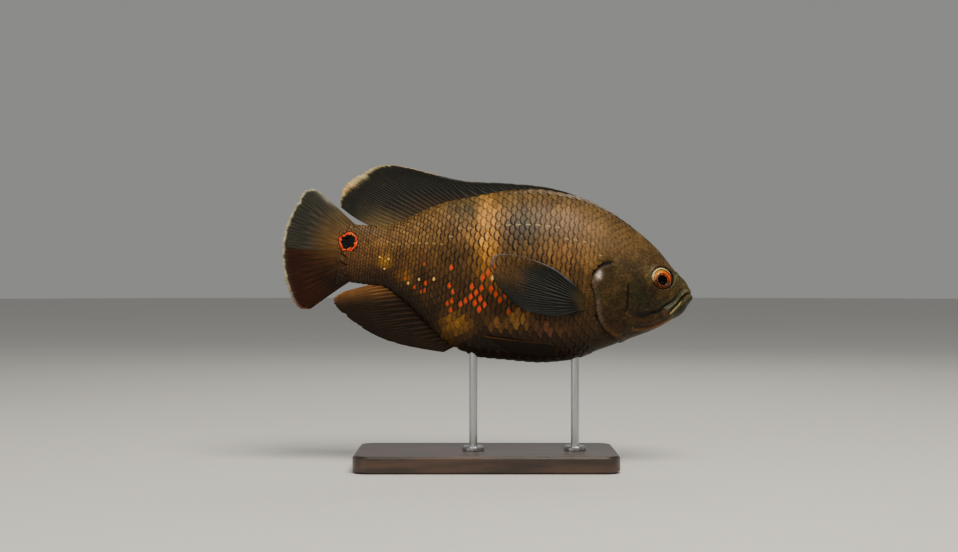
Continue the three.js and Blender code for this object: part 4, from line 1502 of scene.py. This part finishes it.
def scale_points(side, seed):
    """A mesh of bare points, one at each root, with what Geometry Nodes and the finish ask of it."""
    d, share, points, lie, out, high = roots
    rng = np.random.default_rng(seed)
    flip = np.array([1, -1 if side == "right" else 1, 1])
    z = points[:, 2]
    grown = smooth(d, BARE_NAPE, 95) * smooth(z, -58, -40)
    long = SCALE_PITCH(d) * SCALE_LONG
    size = np.stack([long, high * SCALE_HIGH, SCALE_DOME * (0.35 + 0.65 * grown)], 1)
    size[:, :2] *= rng.uniform(0.96, 1.05, (len(d), 1))
    shades, flame, gold = scale_colours(d, z, rng)
    if side == "left":
        flame = np.roll(flame, 3) * rng.uniform(0.6, 1, len(d))
    rim = rng.uniform(0.35, 1, len(d)) * grown * (1 - 0.45 * smooth(z, 26, 44)) * smooth(z, -46, -30)
    on_map = MAP_MARGIN + MAP_SHARE * np.stack([d / MAP_LENGTH, share], 1)
    lifted = (points + out * (0.3 * grown[:, None] - 0.12)) * flip
    mesh = bpy.data.meshes.new(f"scale_roots_{side}")
    mesh.from_pydata(to_world(lifted).tolist(), [], [])
    carried = {
        "FLOAT_VECTOR": {
            "lie": (lie * flip) @ TURN.T, "out": (out * flip) @ TURN.T, "size": size * MM,
            "root_map": np.pad(on_map, ((0, 0), (0, 1))),
        },
        "FLOAT_COLOR": {"tint": opaque(shades)},
        "FLOAT": {"orange": flame, "gold": gold, "rim": rim, "pored": pored_scales(d, z)},
    }
    for kind, attributes in carried.items():
        for name, values in attributes.items():
            fill(mesh.attributes.new(name, kind, "POINT"), values)
    return add_object(mesh.name, mesh)


print("a scale at mid flank is", round(float(SCALE_PITCH(120) * SCALE_LONG), 1), "mm long")

# %% [markdown]
# ### The finish of a scale
# A real scale is thin and clear, so the skin's colour shows in it, darkest in the rim
# that its neighbour shades. It is painted darker as shade towards its root, under the
# scale ahead, and lighter towards its free edge, and a thin painted shade runs along
# its edge. The plate's own map tells how far a point is along and across it, and
# every rim, dot and pore is a ramp on those two.

# %% Scale finish
def scale_finish():
    finish = Finish("scales", Roughness=0.45, Coat_Roughness=0.2, Specular_IOR_Level=0.15)
    plate = finish.node("ShaderNodeUVMap", {"uv_map": "plate"})
    run = (finish.node("ShaderNodeSeparateXYZ", None, {0: plate}, "X") - 0.5) * 2
    rise = (finish.node("ShaderNodeSeparateXYZ", None, {0: plate}, "Y") - 0.5) * 2
    reach = (run * run + rise * rise) ** 0.5
    crescent = reach.ramp(0.62, 0.82) * run.ramp(0.3, 0.7)
    # A thin painted shade along the plate's edge, where it steps over its neighbour.
    edge_shade = reach.ramp(0.8, 1.0) * run.ramp(-0.2, 0.3)
    grain = finish.noise(600, 3).ramp(0.3, 0.7, 0.72, 1.3)
    # Painted shade towards the root, under the scale ahead, and lighter towards the free edge.
    lit_and_shaded = run.ramp(-0.2, 0.5, 0.8, 1.25)
    shade = finish.scaled(finish.attribute("tint", "Color"), grain * lit_and_shaded)
    line = finish.attribute("pored") * (rise * rise).ramp(0.02, 0.004)
    shade = finish.mix(line * run.ramp(0.75, 0.6) * 0.7, shade, colour("968350"))
    oval = ((run - 0.3) * (run - 0.3) * 1.7 + rise * rise * 0.8) ** 0.5
    dot = oval.ramp(0.42, 0.28)
    flame = finish.mix(finish.noise(800, 2).ramp(0.3, 0.7), colour("c81200"), colour("dc3a06"))
    orange = finish.attribute("orange")
    shade = finish.mix(orange * oval.ramp(0.7, 0.4) * 0.4, shade, colour("a8601c"))
    shade = finish.mix(finish.attribute("gold") * dot * 0.85, shade, colour("f0b860"))
    shade = finish.mix(orange * dot, shade, flame)
    rim = finish.attribute("rim")
    shade = finish.mix(crescent * rim * 0.95, shade, colour("050402"))
    shade = finish.mix(edge_shade * (0.1 + 0.3 * rim), shade, colour("120c05"))
    shade = with_eye_spot(finish, shade)
    finish.set(Base_Color=shade, Coat_Weight=0.04)
    finish.bump(finish.noise(1500, 2), 0.00015, 0.4)
    return finish.material


scale_skin = scale_finish()
print("scale finish:", len(scale_skin.node_tree.nodes), "nodes")

# %% [markdown]
# ### Scales made real
# The modifier is only a recipe. Its result is taken as a plain mesh, one piece for
# each flank, and the recipe and the points are thrown away.

# %% Scales made real
def make_scales(side, seed):
    points = scale_points(side, seed)
    modifier = points.modifiers.new("scales", "NODES")
    modifier.node_group = tree
    modifier[sockets["plate"].identifier] = plate
    modifier[sockets["patch"].identifier] = PATCH
    modifier[sockets["tilt"].identifier] = -SCALE_TILT
    graph = bpy.context.evaluated_depsgraph_get()
    mesh = bpy.data.meshes.new_from_object(points.evaluated_get(graph))
    points.modifiers.remove(modifier)
    bpy.data.objects.remove(points)
    piece = add_object(f"scales_{side}", mesh)
    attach(piece, "root")
    return piece


tree, sockets = scale_tree(scale_skin)
print("node tree of the scales:", len(tree.nodes), "nodes")
for side, seed in (("right", 21), ("left", 22)):
    scales = make_scales(side, seed)
    print(scales.name, sum(len(p.vertices) - 2 for p in scales.data.polygons), "triangles")
bpy.data.objects.remove(plate)

# %% [markdown]
# ## The stand
# The fish swims in the photo, so a museum would hold it on rods over a flat base.
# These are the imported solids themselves, with a dark stained wood and brushed steel.
# Wood grain is noise drawn out along the plank, and brushing is noise drawn out along
# the rod.

# %% Stand finishes
def wood_finish():
    finish = Finish("stained_wood", Roughness=0.38, Coat_Weight=0.25, Coat_Roughness=0.12)
    stretched = finish.stretched((14, 150, 150))
    grain = finish.noise(1.0, 6, stretched)
    pores = finish.noise(9.0, 3, stretched)
    shade = finish.mix(grain.ramp(0.32, 0.68), colour("241811"), colour("4a3223"))
    shade = finish.mix(pores.ramp(0.58, 0.72) * 0.5, shade, colour("140d09"))
    finish.set(Base_Color=shade)
    finish.bump(pores, 0.0002, 0.4)
    return finish.material


def steel_finish():
    finish = Finish("brushed_steel", Metallic=1.0, Roughness=0.32)
    brushing = finish.noise(1.0, 3, finish.stretched((900, 900, 30)))
    shade = finish.mix(brushing, colour("a8aaac"), colour("c8cacc"))
    finish.set(Base_Color=shade, Roughness=brushing.ramp(0.3, 0.7, 0.24, 0.42))
    return finish.material


def wear(node, material):
    """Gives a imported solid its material."""
    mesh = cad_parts[node].data
    mesh.materials.clear()
    mesh.materials.append(material)
    print(node, "wears", material.name)


wear("stand_base", wood_finish())
steel = steel_finish()
for rod in ("stand_rod_front", "stand_rod_rear"):
    wear(rod, steel)

# %% [markdown]
# ## Floor and light
# A plain pale floor and soft studio lamps. The main light comes from above and a
# little from the front, with a weak fill from the camera's side to keep the belly
# readable, and a faint one from behind that parts the back from the floor.

# %% Floor and lamps
FLOOR_RADIUS = 9
FLOOR_HEIGHT = -0.0005


def add_floor():
    place = (0, 0, FLOOR_HEIGHT)
    bpy.ops.mesh.primitive_circle_add(vertices=96, radius=FLOOR_RADIUS, fill_type="NGON", location=place)
    floor = bpy.context.object
    floor.name = "floor"
    finish = Finish("pale_floor", Roughness=0.85)
    finish.set(Base_Color=finish.mix(finish.noise(2.0, 2), colour("d2d0cb"), colour("dbd9d4")))
    floor.data.materials.append(finish.material)


def add_lamp(name, place, aim, size, power, shade):
    data = bpy.data.lights.new(name, "AREA")
    data.shape = "DISK"
    data.size = size
    data.energy = power
    data.color = shade
    lamp = add_object(name, data)
    lamp.location = place
    lamp.rotation_euler = (Vector(aim) - Vector(place)).to_track_quat("-Z", "Y").to_euler()


def light_world(shade, strength):
    world = bpy.data.worlds.new("studio")
    world.use_nodes = True
    background = world.node_tree.nodes["Background"]
    background.inputs["Color"].default_value = (*shade, 1)
    background.inputs["Strength"].default_value = strength
    bpy.context.scene.world = world


# Name, place, aim, size in metres, power in watts and colour
LAMPS = [
    ("key", (0.25, -0.75, 1.35), (0, 0, 0.14), 0.8, 26, (1, 0.94, 0.84)),
    ("fill", (-0.9, -1.1, 0.5), (0, 0, 0.13), 1.2, 3, (1, 0.97, 0.92)),
    ("back", (0.2, 1.0, 1.1), (0, 0, 0.16), 0.8, 4, (1, 0.97, 0.9)),
]

add_floor()
light_world((0.9, 0.9, 0.88), 0.3)
for lamp in LAMPS:
    add_lamp(*lamp)
print("lamps:", len(LAMPS))
